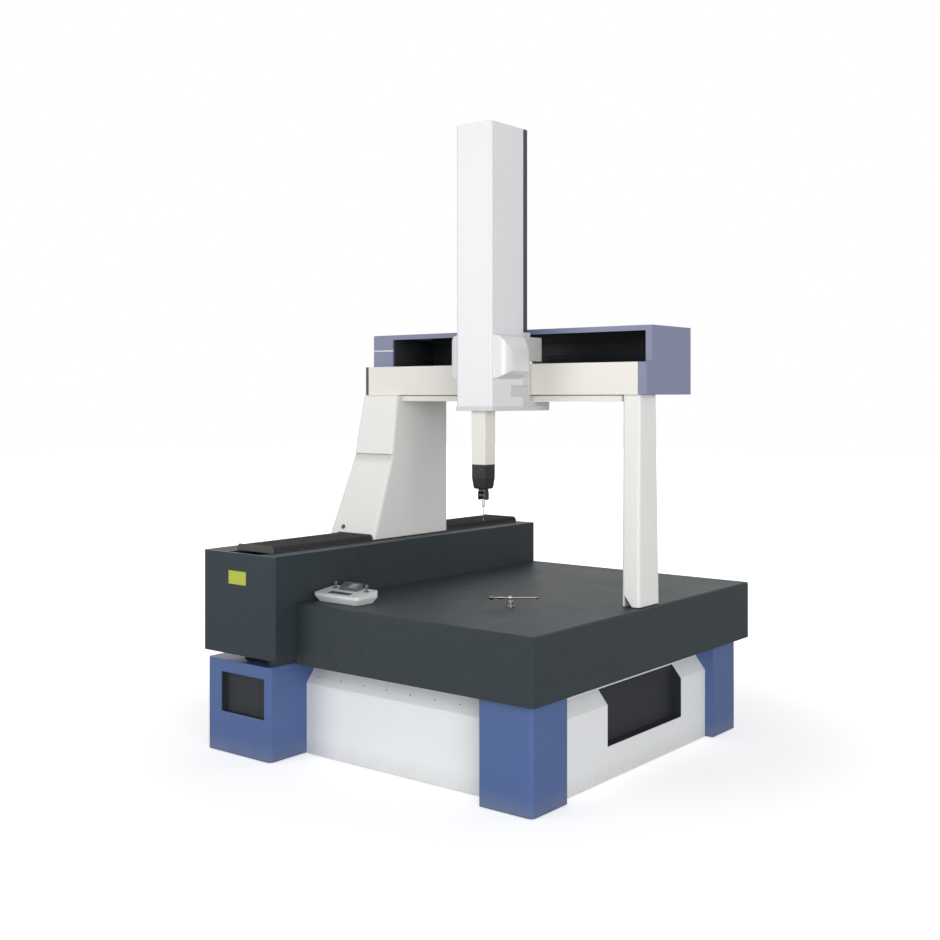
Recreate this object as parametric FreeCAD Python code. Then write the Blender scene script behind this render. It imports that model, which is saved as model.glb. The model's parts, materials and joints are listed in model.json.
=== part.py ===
"""Moving-bridge coordinate measuring machine, in millimetres.

X runs along the beam, Y from the front of the machine to its back, +Z up.
The origin is on the floor, at the bottom centre of the whole machine.
Bodies: the base with its granite, the bridge that runs along Y, the carriage
that runs along X on the bridge's beam, and the ram that runs along Z.
"""
import FreeCAD, Part
import math, os

V = FreeCAD.Vector
os.makedirs("parts", exist_ok=True)

# ---------------------------------------------------------------- driving dimensions
# granite table
table_width = 1255.0
table_length = 1775.0
table_thickness = 265.0
table_top = 700.0
table_chamfer = 5.0
insert_radius = 8.0            # threaded insert, outside
insert_bore = 3.4              # M8 tapping size, as a radius
insert_depth = 24.0
insert_columns = 3
insert_rows = 4
insert_pitch_x = 250.0
insert_pitch_y = 300.0

# Y guide, the raised block along the table's left side
guide_width = 461.0
guide_front_reach = 125.0      # how far it stands before the table
guide_bottom = 465.0
guide_top = 908.0
guide_cover_thickness = 15.0   # end covers
guide_corner_radius = 14.0
channel_width = 200.0          # slot in the guide's top for the leg's truck
channel_depth = 80.0
channel_offset = 212.0         # from the guide's table side to the slot's middle
plate_width = 111.0            # bare plate on the front end cover
plate_height = 58.0
plate_thickness = 1.5
plate_left = 170.0             # from the guide's left side
plate_drop = 78.0              # from the guide's top

# bellows over the slot
bellows_width = 230.0
bellows_height = 27.0
bellows_pitch = 15.0
bellows_fold = 9.0             # depth of a fold
bellows_front_margin = 85.0    # fixed end, from the guide's front
bellows_back_margin = 47.0
bellows_plate = 5.0
bellows_plate_rim = 2.0        # plates larger than the bellows

# base
base_side_reach = 49.0         # left corner covers, past the guide
corner_side_inset = 45.0       # right corner covers, inside the table's side
corner_front_inset = 55.0
corner_back_inset = 43.0
corner_width = 252.0
corner_depth = 232.0
corner_radius = 22.0
left_corner_width = 414.0
left_corner_inset = 63.0       # behind the guide's front
sheet = 3.0
floor_gap = 4.0                # under covers and panels
top_gap = 3.0                  # between covers and granite
panel_side_inset = 40.0        # panels behind the corner covers
panel_front_inset = 100.0
panel_bend_height = 314.0      # where the panels start to lean in
panel_bend_rise = 58.0
panel_bend_in = 46.0
panel_gap = 1.0
left_corner_top = 415.0
post_size = 120.0
rail_width = 60.0
lower_rail_height = 100.0
upper_rail_height = 80.0
upper_rail_lift = 100.0        # upper rail above the lower one
foot_height = 60.0
foot_radius = 45.0
foot_pad_thickness = 8.0
foot_hub_radius = 27.0
foot_hub_height = 18.0
foot_stem_radius = 14.0
foot_nut_radius = 24.0
foot_nut_height = 22.0
bracket_size = 30.0            # arms that carry the covers and panels
bracket_rise = 10.0            # above a rail's bottom, or below a post's top
panel_bracket_inset = 150.0    # from a panel's ends
isolator_height = 60.0
isolator_radius = 55.0
isolator_groove = 8.0          # depth of the grooves in the rubber
isolator_rib = 9.0             # height of each outer rib
isolator_clearance = 4.0       # round it, in the cover's top plate
window_depth = 50.0            # recess in the right side panel
window_length = 627.0
window_bottom = 140.0
window_start = 358.0           # from the front right corner cover
corner_window_width = 278.0    # recess in the front left corner cover
corner_window_height = 176.0
corner_window_bottom = 184.0
corner_window_side = 97.0      # from the cover's left side
corner_window_depth = 28.0
screw_radius = 5.0
screw_height = 3.0
screw_pitch = 120.0

# bridge: left leg
leg_foot_width = 298.0
leg_top_width = 220.0
leg_foot_depth = 552.0
leg_top_depth = 390.0
leg_kink_depth = 424.0         # just above the kink
leg_ledge = 6.0                # how far the upper face stands over the lower one
leg_kink_height = 1312.0
leg_groove = 9.0               # shallow groove under the ledge
leg_groove_height = 46.0
leg_side_offset = 90.0         # leg's inner side, left of the table's left side
leg_foot_front = 713.0         # from the guide's front
leg_corner_radius = 18.0
leg_gap = 4.0                  # over the guide
leg_wall = 14.0
truck_width = 160.0
truck_length = 480.0
pad_radius = 45.0
pad_thickness = 9.5
side_pad_radius = 25.0
air_gap = 0.5
spacer_thickness = 4.0

# bridge: right column
column_side_offset = 99.0      # its left side, from the table's right side
column_width = 85.0
column_depth = 140.0
column_foot_depth = 174.0
column_foot_back = 26.0        # how far the foot spreads backwards
column_radius = 14.0
column_wall = 6.0
column_pocket = 71.0
column_gap = 4.0
foot_hole_width = 38.0
foot_hole_height = 48.0
foot_hole_side = 13.0
column_pad_radius = 32.0
column_pad_thickness = 11.5
pad_stem_radius = 10.0

# bridge: beam and its lower rail
beam_bottom = 1597.0
beam_height = 138.0
beam_depth = 210.0
beam_wall = 12.0
beam_left = 78.0               # beam's left end inside the leg's foot's left side
beam_right = 16.0              # beam's right end inside the table's right side
beam_front_from_leg = 20.0     # beam's face behind the leg's top front
beam_cap_thickness = 18.0
rail_height = 25.0
rail_setback = 15.0            # rail's face behind the beam's
rail_depth = 160.0
rail_spine_depth = 100.0
rail_end_gap = 6.0

# bridge: hood
hood_side_reach = 25.0         # right end, past the table
hood_top = 1891.0
hood_setback = 48.0            # its lip behind the beam's face
hood_depth = 337.0
hood_lip = 23.0
hood_left_end = 126.0
hood_left_gap = 9.0            # hood's left end inside the beam's
hood_right_thickness = 30.0
hood_right_front = 4.0         # its lower part behind the beam's face
lining_gap = 30.0              # behind the lining
lining_sheet = 2.0
hood_top_gap = 1.0             # lining below the hood's sheet
lining_overlap = 20.0          # its floor, onto the beam

# X drive
pulley_radius = 30.0
pulley_shaft_radius = 6.0
pulley_side_gap = 1.0          # belt's edge to flange
pulley_flange = 2.0            # flange thickness
pulley_rim = 6.0               # flange over the drum
shaft_clearance = 0.05
shaft_depth = 20.0             # drive pulley's shaft in the motor
belt_thickness = 3.0
belt_width = 25.0
belt_gap = 0.3
belt_level = 1808.0
belt_back = 75.0               # belt's middle, in front of the lining
belt_end_margin = 55.0
motor_size = 60.0
motor_length = 42.0
scale_width = 12.0
scale_thickness = 1.5

# carriage
carriage_width = 195.0
carriage_inset = 563.0         # its right side, from the table's right side
carriage_depth = 232.0         # Z cover
cover_wall = 4.0
cover_radius = 14.0
cover_back_depth = 30.0
cover_top = 2770.0
top_cap_thickness = 6.0
cover_to_beam = 58.0           # from the Z cover's back edge to the beam's face
carriage_top = 1873.0
plate_bottom = 1527.0
bottom_plate_thickness = 19.0
core_gap = 2.0
upper_arm_reach = 83.0         # over the beam
arm_top = 1853.0
arm_gap = 12.0                 # over the beam
lower_arm_reach = 144.0        # under the rail
lower_arm_gap = 2.0
body_gap = 5.0                 # before the beam
pocket_margin = 14.0           # round the balance cylinder's pocket
clamp_width = 25.0             # on the X drive's belt
clamp_side = 3.0               # from the carriage's left side
clamp_jaw = 6.0
clamp_gap = 0.5
plate_overlap = 2.0            # bottom plate proud of the cover's sides
plate_radius = 6.0
face_pad_radius = 28.0
face_pad_edge = 38.0           # face pads' middles, from the beam's edges
top_pad_radius = 32.0
pad_side_inset = 40.0          # pads' middles, from the carriage's sides
fairing_depth = 190.0
fairing_bulge = 65.0
fairing_shoulder = 30.0        # bulge just under its top
fairing_front = 8.0
fairing_nose = 75.0            # length of its rounded front
fairing_tail = 14.0            # and of its short back
fairing_bottom = 1667.0
fairing_top = 1857.0
fairing_slope = 100.0          # from its top to its full bulge
fairing_tuck = 34.0            # from its bottom to its full bulge
notch_bottom = 1589.0
notch_height = 48.0
notch_start = 142.0            # from the Z cover's front
notch_length = 126.0

# ram and its balance cylinder
ram_size = 76.0
ram_wall = 7.0
ram_radius = 5.0
ram_bottom = 1294.0
ram_length = 1226.0
ram_front = 33.0               # ram's front face behind the Z cover's
ram_clearance = 2.0
ram_pad_gap = 0.4
ram_pad_room = 12.0
ram_pad_radius = 24.0
cylinder_radius = 26.0
cylinder_bore = 22.0
cylinder_top = 2175.0
rod_radius = 10.0
piston_clearance = 0.2
rod_length = 603.0
rod_clearance = 0.1
piston_height = 16.0
cylinder_cap = 10.0
cylinder_floor = 6.0
bracket_thickness = 12.0

# probe head
head_height = 106.0
head_taper_height = 47.0
head_taper = 5.0
rotor_radius = 22.0
rotor_height = 13.0
spindle_radius = 10.0
spindle_clearance = 0.05
spindle_depth = 22.0
head_edge_height = 6.0         # bevel round the head's lower end
head_edge = 4.0
head_radius = 8.0
joint_gap = 0.4
tilt_drop = 30.0               # from the head's bottom to the tilt axis
knuckle_radius = 15.6
knuckle_width = 30.0
ear_thickness = 7.0
ear_radius = 19.0
ear_web_inset = 3.0
pivot_radius = 4.0
probe_radius = 6.5
probe_length = 55.0
probe_nose_radius = 4.0
probe_nose_height = 6.0
stylus_radius = 1.6
stylus_length = 55.0
tip_radius = 3.0

# hand pendant on the table
pendant_width = 265.0
pendant_depth = 140.0
pendant_front_height = 36.0
pendant_back_height = 52.0
pendant_foot_inset = 14.0
pendant_seam = 24.0
pendant_side = 12.0            # from the table's left side
pendant_front = 88.0           # from the table's front
pendant_wall = 3.0
pendant_radius = 20.0
display_width = 100.0
display_depth = 46.0
display_rise = 26.0
display_front_rise = 11.7
display_ledge = 9.2            # flat top behind the tilted face
display_back = 12.0            # housing before the pendant's back
screen_side = 8.0              # screen inside the housing's sides
screen_end = 4.0
screen_recess = 1.5
stick_side = 40.0              # joystick's middle, from the pendant's side
stick_back = 38.0              # and from its back
stick_ball_radius = 11.0
stick_dome_radius = 17.0
stick_dome_sheet = 2.0
stick_dome_rim = 6.4           # the dome's rim above the pivot
stick_drop = 12.0              # pivot below the pendant's top
stick_gap = 0.5
stick_radius = 4.5
stick_height = 26.0
knob_radius = 8.0
ball_facets = 5                # steps from a ball's middle to its top
gimbal_radius = 14.0
gimbal_thickness = 4.0
gimbal_pin_radius = 1.0
gimbal_pin_reach = 22.0        # end of its pins, from the pivot
pin_clearance = 0.05
gimbal_post_thickness = 4.0
gimbal_post_width = 8.0
gimbal_post_rise = 3.0         # posts' tops, above the pivot
key_size = 8.0
key_pitch = 12.0
key_columns = 5
key_rows = 2
key_height = 1.6
mat_margin = 3.6               # keypad's mat round its keys
mat_front = 22.0               # mat behind the pendant's front

# ball bar on its stand
stand_side = 787.0             # stand's middle, from the table's left side
stand_front = 488.0            # and from its front
stand_radius = 16.0
stand_height = 40.0
stand_foot = 6.0               # height of its foot
stand_body_radius = 12.8
stand_body_low = 8.8
stand_body_high = 22.0
stand_neck_radius = 5.0
stand_neck = 32.0              # bottom of its neck
clamp_head_radius = 9.0
clamp_head_half = 7.0
collar_radius = 6.8            # on the bar, between the left ball and the stand
collar_start = 28.0
collar_end = 52.0
bar_radius = 4.0
bar_left = 80.0
bar_right = 113.0
bar_angle = 38.0
big_ball_radius = 10.0
small_ball_radius = 6.5

# ---------------------------------------------------------------- planes worked out
overall_width = base_side_reach + guide_width + table_width + hood_side_reach
overall_length = plate_thickness + guide_front_reach + table_length
x_hood_right = overall_width / 2
x_table_right = x_hood_right - hood_side_reach
x_table_left = x_table_right - table_width
x_guide_left = x_table_left - guide_width
x_base_left = x_guide_left - base_side_reach
y_back = overall_length / 2
y_guide_front = y_back - guide_front_reach - table_length
y_table_front = y_guide_front + guide_front_reach
table_bottom = table_top - table_thickness
x_channel = x_table_left - channel_offset
channel_floor = guide_top - channel_depth

x_corner_right = x_table_right - corner_side_inset
x_corner_left = x_corner_right - corner_width
y_corner_front = y_table_front + corner_front_inset
y_corner_back = y_back - corner_back_inset
x_left_corner_right = x_base_left + left_corner_width
y_left_corner_front = y_guide_front + left_corner_inset
x_right_panel = x_corner_right - panel_side_inset
y_front_panel = y_corner_front + panel_front_inset
y_back_panel = y_corner_back - panel_side_inset
x_left_panel = x_base_left + panel_side_inset

x_leg_inner = x_table_left - leg_side_offset
x_leg_foot_left = x_leg_inner - leg_foot_width
y_leg_front = y_guide_front + leg_foot_front
y_leg_back = y_leg_front + leg_foot_depth
leg_bottom = guide_top + leg_gap
y_beam_front = y_leg_back - leg_top_depth + beam_front_from_leg
y_beam_back = y_beam_front + beam_depth
beam_top = beam_bottom + beam_height
x_beam_left = x_leg_foot_left + beam_left
x_beam_right = x_table_right - beam_right
leg_top = beam_bottom - spacer_thickness

x_column_left = x_table_right - column_side_offset
x_column_right = x_column_left + column_width
y_column_front = y_beam_front + rail_setback + 1.0
column_bottom = table_top + column_gap

x_rail_left = x_leg_inner + panel_gap
x_rail_right = x_column_left - rail_end_gap
y_rail_front = y_beam_front + rail_setback
rail_bottom = beam_bottom - spacer_thickness - rail_height

x_hood_left = x_beam_left + hood_left_gap
y_hood_front = y_beam_front + hood_setback
y_hood_back = y_hood_front + hood_depth
x_recess_left = x_hood_left + hood_left_end
x_recess_right = x_hood_right - hood_right_thickness
y_lining_back = y_hood_back - lining_gap

x_carriage_right = x_table_right - carriage_inset
x_carriage_left = x_carriage_right - carriage_width
x_ram = (x_carriage_left + x_carriage_right) / 2
y_cover_back = y_beam_front - cover_to_beam
y_cover_front = y_cover_back - carriage_depth
y_ram = y_cover_front + ram_front + ram_size / 2
cover_bottom = plate_bottom + bottom_plate_thickness
y_body_back = y_beam_front - body_gap
lower_arm_top = rail_bottom - lower_arm_gap
arm_bottom = beam_top + arm_gap
ram_top = ram_bottom + ram_length
ram_pad_half = ram_size / 2 + ram_pad_gap
bore_half = ram_size / 2 + ram_pad_room

y_belt = y_lining_back - belt_back
x_idler = x_recess_left - belt_end_margin
x_drive = x_recess_right - belt_end_margin

head_bottom = ram_bottom - head_height
tilt_level = head_bottom - tilt_drop
probe_top = tilt_level
probe_bottom = tilt_level - probe_length
stylus_bottom = probe_bottom - stylus_length
x_stand = x_table_left + stand_side
y_stand = y_table_front + stand_front


# ---------------------------------------------------------------- helpers
def block(x0, x1, y0, y1, z0, z1):
    """Box between two corners."""
    return Part.makeBox(x1 - x0, y1 - y0, z1 - z0, V(x0, y0, z0))


def rod(radius, start, end):
    """Cylinder between two points."""
    path = end.sub(start)
    return Part.makeCylinder(radius, path.Length, start, path)


def outline(x0, x1, y0, y1, z, radii):
    """Rectangle at height z. The radii round (x0, y0), (x1, y0), (x1, y1) and (x0, y1)."""
    turns = [(V(x0, y0, z), V(0, 1, 0), V(1, 0, 0)), (V(x1, y0, z), V(-1, 0, 0), V(0, 1, 0)),
             (V(x1, y1, z), V(0, -1, 0), V(-1, 0, 0)), (V(x0, y1, z), V(1, 0, 0), V(0, -1, 0))]
    edges, ends = [], []
    for (corner, back, ahead), r in zip(turns, radii):
        if r > 0:
            start, end = corner + back * r, corner + ahead * r
            middle = corner + (back + ahead) * (r * (1 - math.sqrt(0.5)))
            edges.append(Part.Arc(start, middle, end).toShape())
            ends.append((start, end))
        else:
            ends.append((corner, corner))
    for i, (_, end) in enumerate(ends):
        edges.append(Part.LineSegment(end, ends[(i + 1) % 4][0]).toShape())
    return Part.Wire(Part.__sortEdges__(edges))


def rounded(x0, x1, y0, y1, z0, z1, radii):
    """Upright box with rounded vertical edges; radii as in outline, or one number for all."""
    if not isinstance(radii, (list, tuple)):
        radii = [radii] * 4
    return Part.Face(outline(x0, x1, y0, y1, z0, radii)).extrude(V(0, 0, z1 - z0))


def prism(points, path):
    """Solid with a straight-sided outline, extruded along path."""
    closed = [V(*p) for p in points]
    return Part.Face(Part.makePolygon(closed + closed[:1])).extrude(path)


def turned(profile, centre):
    """Solid of revolution about a vertical axis from (radius, height) points."""
    points = [V(r, 0, z) for r, z in profile]
    face = Part.Face(Part.makePolygon(points + points[:1]))
    solid = face.revolve(V(0, 0, 0), V(0, 0, 1), 360)
    solid.translate(centre)
    return solid


def fuse(shapes):
    """One solid from shapes that touch or overlap."""
    return shapes[0].fuse(shapes[1:]).removeSplitter() if len(shapes) > 1 else shapes[0]


def cut(shape, tools):
    """Shape with the tools taken away."""
    return shape.cut(tools) if tools else shape


def save(name, shape):
    """Write one node; a list of shapes becomes a group of separate solids."""
    if isinstance(shape, (list, tuple)):
        solids = [s for part in shape for s in part.Solids]
        shape = Part.makeCompound(solids)
    elif len(shape.Solids) == 1:
        shape = shape.Solids[0]
    if not shape.Solids or not shape.isValid():
        raise ValueError(name + " is not a valid solid")
    shape.exportStep("parts/" + name + ".step")


# ---------------------------------------------------------------- base
x_post_right = (x_corner_left + x_corner_right) / 2
x_post_left = (x_base_left + x_left_corner_right) / 2
y_post_front = y_corner_front + corner_depth / 2
y_post_back = y_corner_back - corner_depth / 2
y_post_left_front = y_left_corner_front + corner_depth / 2
right_post_top = table_bottom - isolator_height
left_post_top = guide_bottom - isolator_height
POSTS = [(x_post_right, y_post_front, right_post_top), (x_post_right, y_post_back, right_post_top),
         (x_post_left, y_post_left_front, left_post_top), (x_post_left, y_post_back, left_post_top)]
lip_depth = panel_bend_in + sheet + panel_gap
y_front_rail = y_front_panel + lip_depth + rail_width / 2
y_back_rail = y_back_panel - lip_depth - rail_width / 2
y_left_cover_end = y_front_panel + lip_depth
y_left_cover_start = y_corner_back - corner_depth
lip_top = panel_bend_height + panel_bend_rise
y_side_panel_start = y_corner_front + corner_depth + panel_gap
y_side_panel_end = y_corner_back - corner_depth - panel_gap
y_window = y_side_panel_start + window_start


def arm(x0, x1, y0, y1, z):
    """Square bracket between two faces; a side given twice is centred there."""
    half = bracket_size / 2
    if x0 == x1:
        x0, x1 = x0 - half, x1 + half
    if y0 == y1:
        y0, y1 = y0 - half, y1 + half
    return block(min(x0, x1), max(x0, x1), min(y0, y1), max(y0, y1), z, z + bracket_size)


def cover_brackets():
    """Arms from each post out to the two outer walls of its corner cover."""
    arms, half = [], post_size / 2
    for x, y, top in POSTS:
        right, back = x > x_channel, y > 0
        x_wall = x_corner_right - sheet if right else x_base_left + sheet
        y_outer = y_corner_back if back else (y_corner_front if right else y_left_corner_front)
        y_wall = y_outer - sheet if back else y_outer + sheet
        x_face = x + half if right else x - half
        y_face = y + half if back else y - half
        for z in (foot_height + bracket_rise, top - bracket_rise - bracket_size):
            arms += [arm(x_face, x_wall, y, y, z), arm(x, x, y_face, y_wall, z)]
    return arms


def panel_brackets():
    """Arms from the rails out to the four panels, near each panel's ends."""
    arms, half, inset = [], rail_width / 2, panel_bracket_inset
    lower = foot_height + bracket_rise
    for z in (lower, lower + lower_rail_height + upper_rail_lift):
        for x in (x_left_corner_right + inset, x_corner_left - inset):
            arms.append(arm(x, x, y_front_panel + sheet, y_front_rail - half, z))
            arms.append(arm(x, x, y_back_rail + half, y_back_panel - sheet, z))
        for y in (y_side_panel_start + inset, y_side_panel_end - inset / 2):
            arms.append(arm(x_post_right + half, x_right_panel - sheet, y, y, z))
            arms.append(arm(x_left_panel + sheet, x_post_left - half, y, y, z))
    return arms


def base_frame():
    """Welded frame: four posts, two levels of rails between their faces, and the brackets."""
    half, side = post_size / 2, rail_width / 2
    parts = [block(x - half, x + half, y - half, y + half, foot_height, top) for x, y, top in POSTS]
    bottom, lift = foot_height, lower_rail_height + upper_rail_lift
    for z0, z1 in ((bottom, bottom + lower_rail_height), (bottom + lift, bottom + lift + upper_rail_height)):
        for x, y0 in ((x_post_right, y_post_front), (x_post_left, y_post_left_front)):
            parts.append(block(x - side, x + side, y0 + half, y_post_back - half, z0, z1))
        for y, x_in_left, x_in_right in ((y_front_rail, side, half), (y_back_rail, half, half),
                                         ((y_front_rail + y_back_rail) / 2, side, side)):
            parts.append(block(x_post_left + x_in_left, x_post_right - x_in_right, y - side, y + side, z0, z1))
    return parts + cover_brackets() + panel_brackets()


def levelling_feet():
    """Foot, stem and lock nut under each post."""
    nut = foot_height - foot_nut_height
    profile = [(0, 0), (foot_radius, 0), (foot_radius, foot_pad_thickness), (foot_hub_radius, foot_hub_height),
               (foot_stem_radius, foot_hub_height), (foot_stem_radius, nut), (foot_nut_radius, nut),
               (foot_nut_radius, foot_height), (0, foot_height)]
    return [turned(profile, V(x, y, 0)) for x, y, _ in POSTS]


def isolators():
    """Ribbed rubber mount between each post and the granite."""
    r, h, rib = isolator_radius, isolator_height, isolator_rib
    groove, middle = r - isolator_groove, h / 2
    profile = [(0, 0), (r, 0), (r, rib), (groove, 1.5 * rib), (r, middle - rib / 2), (r, middle + rib / 2),
               (groove, h - 1.5 * rib), (r, h - rib), (r, h), (0, h)]
    return [turned(profile, V(x, y, top)) for x, y, top in POSTS]


def right_corner_covers():
    """Two folded covers with a rounded outer corner, open towards the frame."""
    covers = []
    top, wall = table_bottom - top_gap, sheet
    reach_x, reach_y = panel_side_inset + lip_depth, panel_front_inset + lip_depth
    for y0, y1, front in ((y_corner_front, y_corner_front + corner_depth, True),
                          (y_corner_back - corner_depth, y_corner_back, False)):
        r_front, r_back = (corner_radius, 0) if front else (0, corner_radius)
        outer = rounded(x_corner_left, x_corner_right, y0, y1, floor_gap, top, [0, r_front, r_back, 0])
        inner = rounded(x_corner_left + wall, x_corner_right - wall, y0 + wall, y1 - wall, 0, top + 1,
                        [0, max(r_front - wall, 0), max(r_back - wall, 0), 0])
        y_near, y_far = (y0 + reach_y, y1 + 1) if front else (y0 - 1, y1 - panel_side_inset - lip_depth)
        corner = block(x_corner_left - 1, x_corner_right - reach_x, y_near, y_far, 0, top + 1)
        covers.append(outer.cut([inner, corner]))
    return covers


def left_corner_covers():
    """Two deep covers under the guide with a top plate each; the front one has a window."""
    covers, wall = [], sheet
    for y0, y1, front in ((y_left_corner_front, y_left_cover_end, True),
                          (y_left_cover_start, y_corner_back, False)):
        radii = [corner_radius, corner_radius, 0, 0] if front else [0, 0, corner_radius, corner_radius]
        outer = rounded(x_base_left, x_left_corner_right, y0, y1, floor_gap, left_corner_top, radii)
        inner_radii = [max(r - wall, 0) for r in radii]
        open_y0, open_y1 = (y0 + wall, y1 + wall) if front else (y0 - wall, y1 - wall)
        inner = rounded(x_base_left + wall, x_left_corner_right - wall, open_y0, open_y1, 0,
                        left_corner_top - wall, inner_radii)
        y_post = y_post_left_front if front else y_post_back
        hole = rod(isolator_radius + isolator_clearance, V(x_post_left, y_post, left_corner_top - 2 * wall),
                   V(x_post_left, y_post, left_corner_top + 1))
        cover = outer.cut([inner, hole])
        if front:
            cover = cover.cut(corner_window(y0 - 1, y0 + wall + 1))
        else:
            cover = cover.cut(block(x_left_corner_right - 2 * wall, x_left_corner_right + 1, y0 - 1,
                                    y_back_panel - lip_depth, 0, left_corner_top - wall))
        covers.append(cover)
    return covers


def corner_window(y0, y1):
    """Space of the front left cover's window between two depths."""
    x0 = x_base_left + corner_window_side
    return block(x0, x0 + corner_window_width, y0, y1, corner_window_bottom,
                 corner_window_bottom + corner_window_height)


def panel_section(top, inward):
    """(depth, height) points of a panel that leans in under the granite."""
    lean = [(0, floor_gap), (0, panel_bend_height), (panel_bend_in, lip_top), (panel_bend_in, top)]
    back = [(d + sheet, min(z, top) - (sheet / 2 if 0 < i < 3 else 0)) for i, (d, z) in enumerate(lean)]
    return [(inward * d, z) for d, z in lean + back[::-1]]


def front_panel():
    x0, x1 = x_left_corner_right + panel_gap, x_corner_left - panel_gap
    section = panel_section(table_bottom - top_gap, 1)
    return prism([(x0, y_front_panel + d, z) for d, z in section], V(x1 - x0, 0, 0))


def back_panel():
    x0, x1 = x_left_corner_right + panel_gap, x_corner_left - panel_gap
    section = panel_section(table_bottom - top_gap, -1)
    return prism([(x0, y_back_panel + d, z) for d, z in section], V(x1 - x0, 0, 0))


def right_panel():
    """Side panel with the opening of the service recess."""
    section = panel_section(table_bottom - top_gap, -1)
    panel = prism([(x_right_panel + d, y_side_panel_start, z) for d, z in section],
                  V(0, y_side_panel_end - y_side_panel_start, 0))
    return panel.cut(block(x_right_panel - lip_depth, x_right_panel + 1, y_window,
                           y_window + window_length, window_bottom, lip_top))


def left_panel():
    y0, y1 = y_left_cover_end + panel_gap, y_left_cover_start - panel_gap
    return block(x_left_panel, x_left_panel + sheet, y0, y1, floor_gap, left_corner_top)


def recess_trays():
    """Dark trays behind the side panel's opening and the corner cover's window."""
    depth, low, high = window_depth + sheet, window_bottom - sheet, lip_top + sheet
    lip = panel_bend_in + sheet
    outer = prism([(x_right_panel - d, y_window - sheet, z) for d, z in
                   ((sheet, low), (sheet, panel_bend_height - sheet / 2), (lip, lip_top - sheet / 2),
                    (lip, high), (depth, high), (depth, low))], V(0, window_length + 2 * sheet, 0))
    side = outer.cut(block(x_right_panel - window_depth, x_right_panel, y_window,
                           y_window + window_length, window_bottom, lip_top))
    y0 = y_left_corner_front + sheet
    x0 = x_base_left + corner_window_side
    tray = block(x0 - sheet, x0 + corner_window_width + sheet, y0, y0 + corner_window_depth,
                 corner_window_bottom - sheet, corner_window_bottom + corner_window_height + sheet)
    return [side, tray.cut(corner_window(y0 - 1, y0 + corner_window_depth - sheet))]


def panel_screws():
    """Button-head screws along the leaning strip of the front panel."""
    slope = math.atan2(panel_bend_rise, panel_bend_in)
    normal = V(0, -math.sin(slope), math.cos(slope))
    x0, x1 = x_left_corner_right + screw_pitch / 2, x_corner_left - screw_pitch / 2
    count = int((x1 - x0) / screw_pitch) + 1
    seat = V(0, y_front_panel + panel_bend_in / 2, panel_bend_height + panel_bend_rise / 2)
    screws = []
    for i in range(count):
        start = seat + V(x0 + (x1 - x0) * i / (count - 1), 0, 0)
        screws.append(rod(screw_radius, start, start + normal * screw_height))
    return screws


# ---------------------------------------------------------------- granite
x_inserts = (x_table_left + x_column_left) / 2
y_inserts = (y_table_front + y_back) / 2
INSERTS = [(x_inserts + (i - (insert_columns - 1) / 2) * insert_pitch_x,
            y_inserts + (j - (insert_rows - 1) / 2) * insert_pitch_y)
           for i in range(insert_columns) for j in range(insert_rows)]


def granite_table():
    """Table slab with chamfered upper edges and pockets for the threaded inserts."""
    slab = block(x_table_left, x_table_right, y_table_front, y_back, table_bottom, table_top)
    edges = [e for e in slab.Edges
             if all(abs(v.Z - table_top) < 1 for v in e.Vertexes)
             and not all(abs(v.X - x_table_left) < 1 for v in e.Vertexes)]
    slab = slab.makeChamfer(table_chamfer, edges)
    holes = [rod(insert_radius, V(x, y, table_top - insert_depth), V(x, y, table_top + 1)) for x, y in INSERTS]
    return slab.cut(holes)


def table_inserts():
    """Threaded inserts, flush with the table."""
    rings = []
    for x, y in INSERTS:
        low, high = V(x, y, table_top - insert_depth), V(x, y, table_top)
        rings.append(rod(insert_radius, low, high).cut(rod(insert_bore, low - V(0, 0, 1), high + V(0, 0, 1))))
    return rings


def y_guideway():
    """Guide block with the slot for the leg's truck along its top."""
    y0, y1 = y_guide_front + guide_cover_thickness, y_back - guide_cover_thickness
    guide = block(x_guide_left, x_table_left, y0, y1, guide_bottom, guide_top)
    half = channel_width / 2
    return guide.cut(block(x_channel - half, x_channel + half, y0 - 1, y1 + 1, channel_floor, guide_top + 1))


def guide_end_covers():
    """Plates that close the guide's two ends, rounded down their outer edges."""
    r, t = guide_corner_radius, guide_cover_thickness
    front = rounded(x_guide_left, x_table_left, y_guide_front, y_guide_front + t, guide_bottom, guide_top,
                    [r, r, 0, 0])
    back = rounded(x_guide_left, x_table_left, y_back - t, y_back, guide_bottom, guide_top, [0, 0, r, r])
    return [front, back]


def blank_plate():
    x0 = x_guide_left + plate_left
    return block(x0, x0 + plate_width, y_guide_front - plate_thickness, y_guide_front,
                 guide_top - plate_drop - plate_height, guide_top - plate_drop)


bellows_bottom = guide_top + joint_gap
y_bellows_front = y_guide_front + bellows_front_margin
y_bellows_back = y_back - bellows_back_margin


def bellows(y0, y1):
    """Accordion cover: folds across the slot, its upper edges bevelled."""
    folds = max(2, round((y1 - y0) / bellows_pitch))
    step = (y1 - y0) / folds
    high = bellows_bottom + bellows_height
    points = [(y0, bellows_bottom), (y0, high - bellows_fold)]
    for i in range(folds):
        points += [(y0 + (i + 0.5) * step, high), (y0 + (i + 1) * step, high - bellows_fold)]
    points.append((y1, bellows_bottom))
    x0, x1 = x_channel - bellows_width / 2, x_channel + bellows_width / 2
    folded = prism([(x0, y, z) for y, z in points], V(bellows_width, 0, 0))
    bevel = bellows_height / 2
    arch = prism([(x0, y0, bellows_bottom), (x0, y0, high - bevel), (x0 + bevel, y0, high),
                  (x1 - bevel, y0, high), (x1, y0, high - bevel), (x1, y0, bellows_bottom)], V(0, y1 - y0, 0))
    return folded.common(arch)


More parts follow.
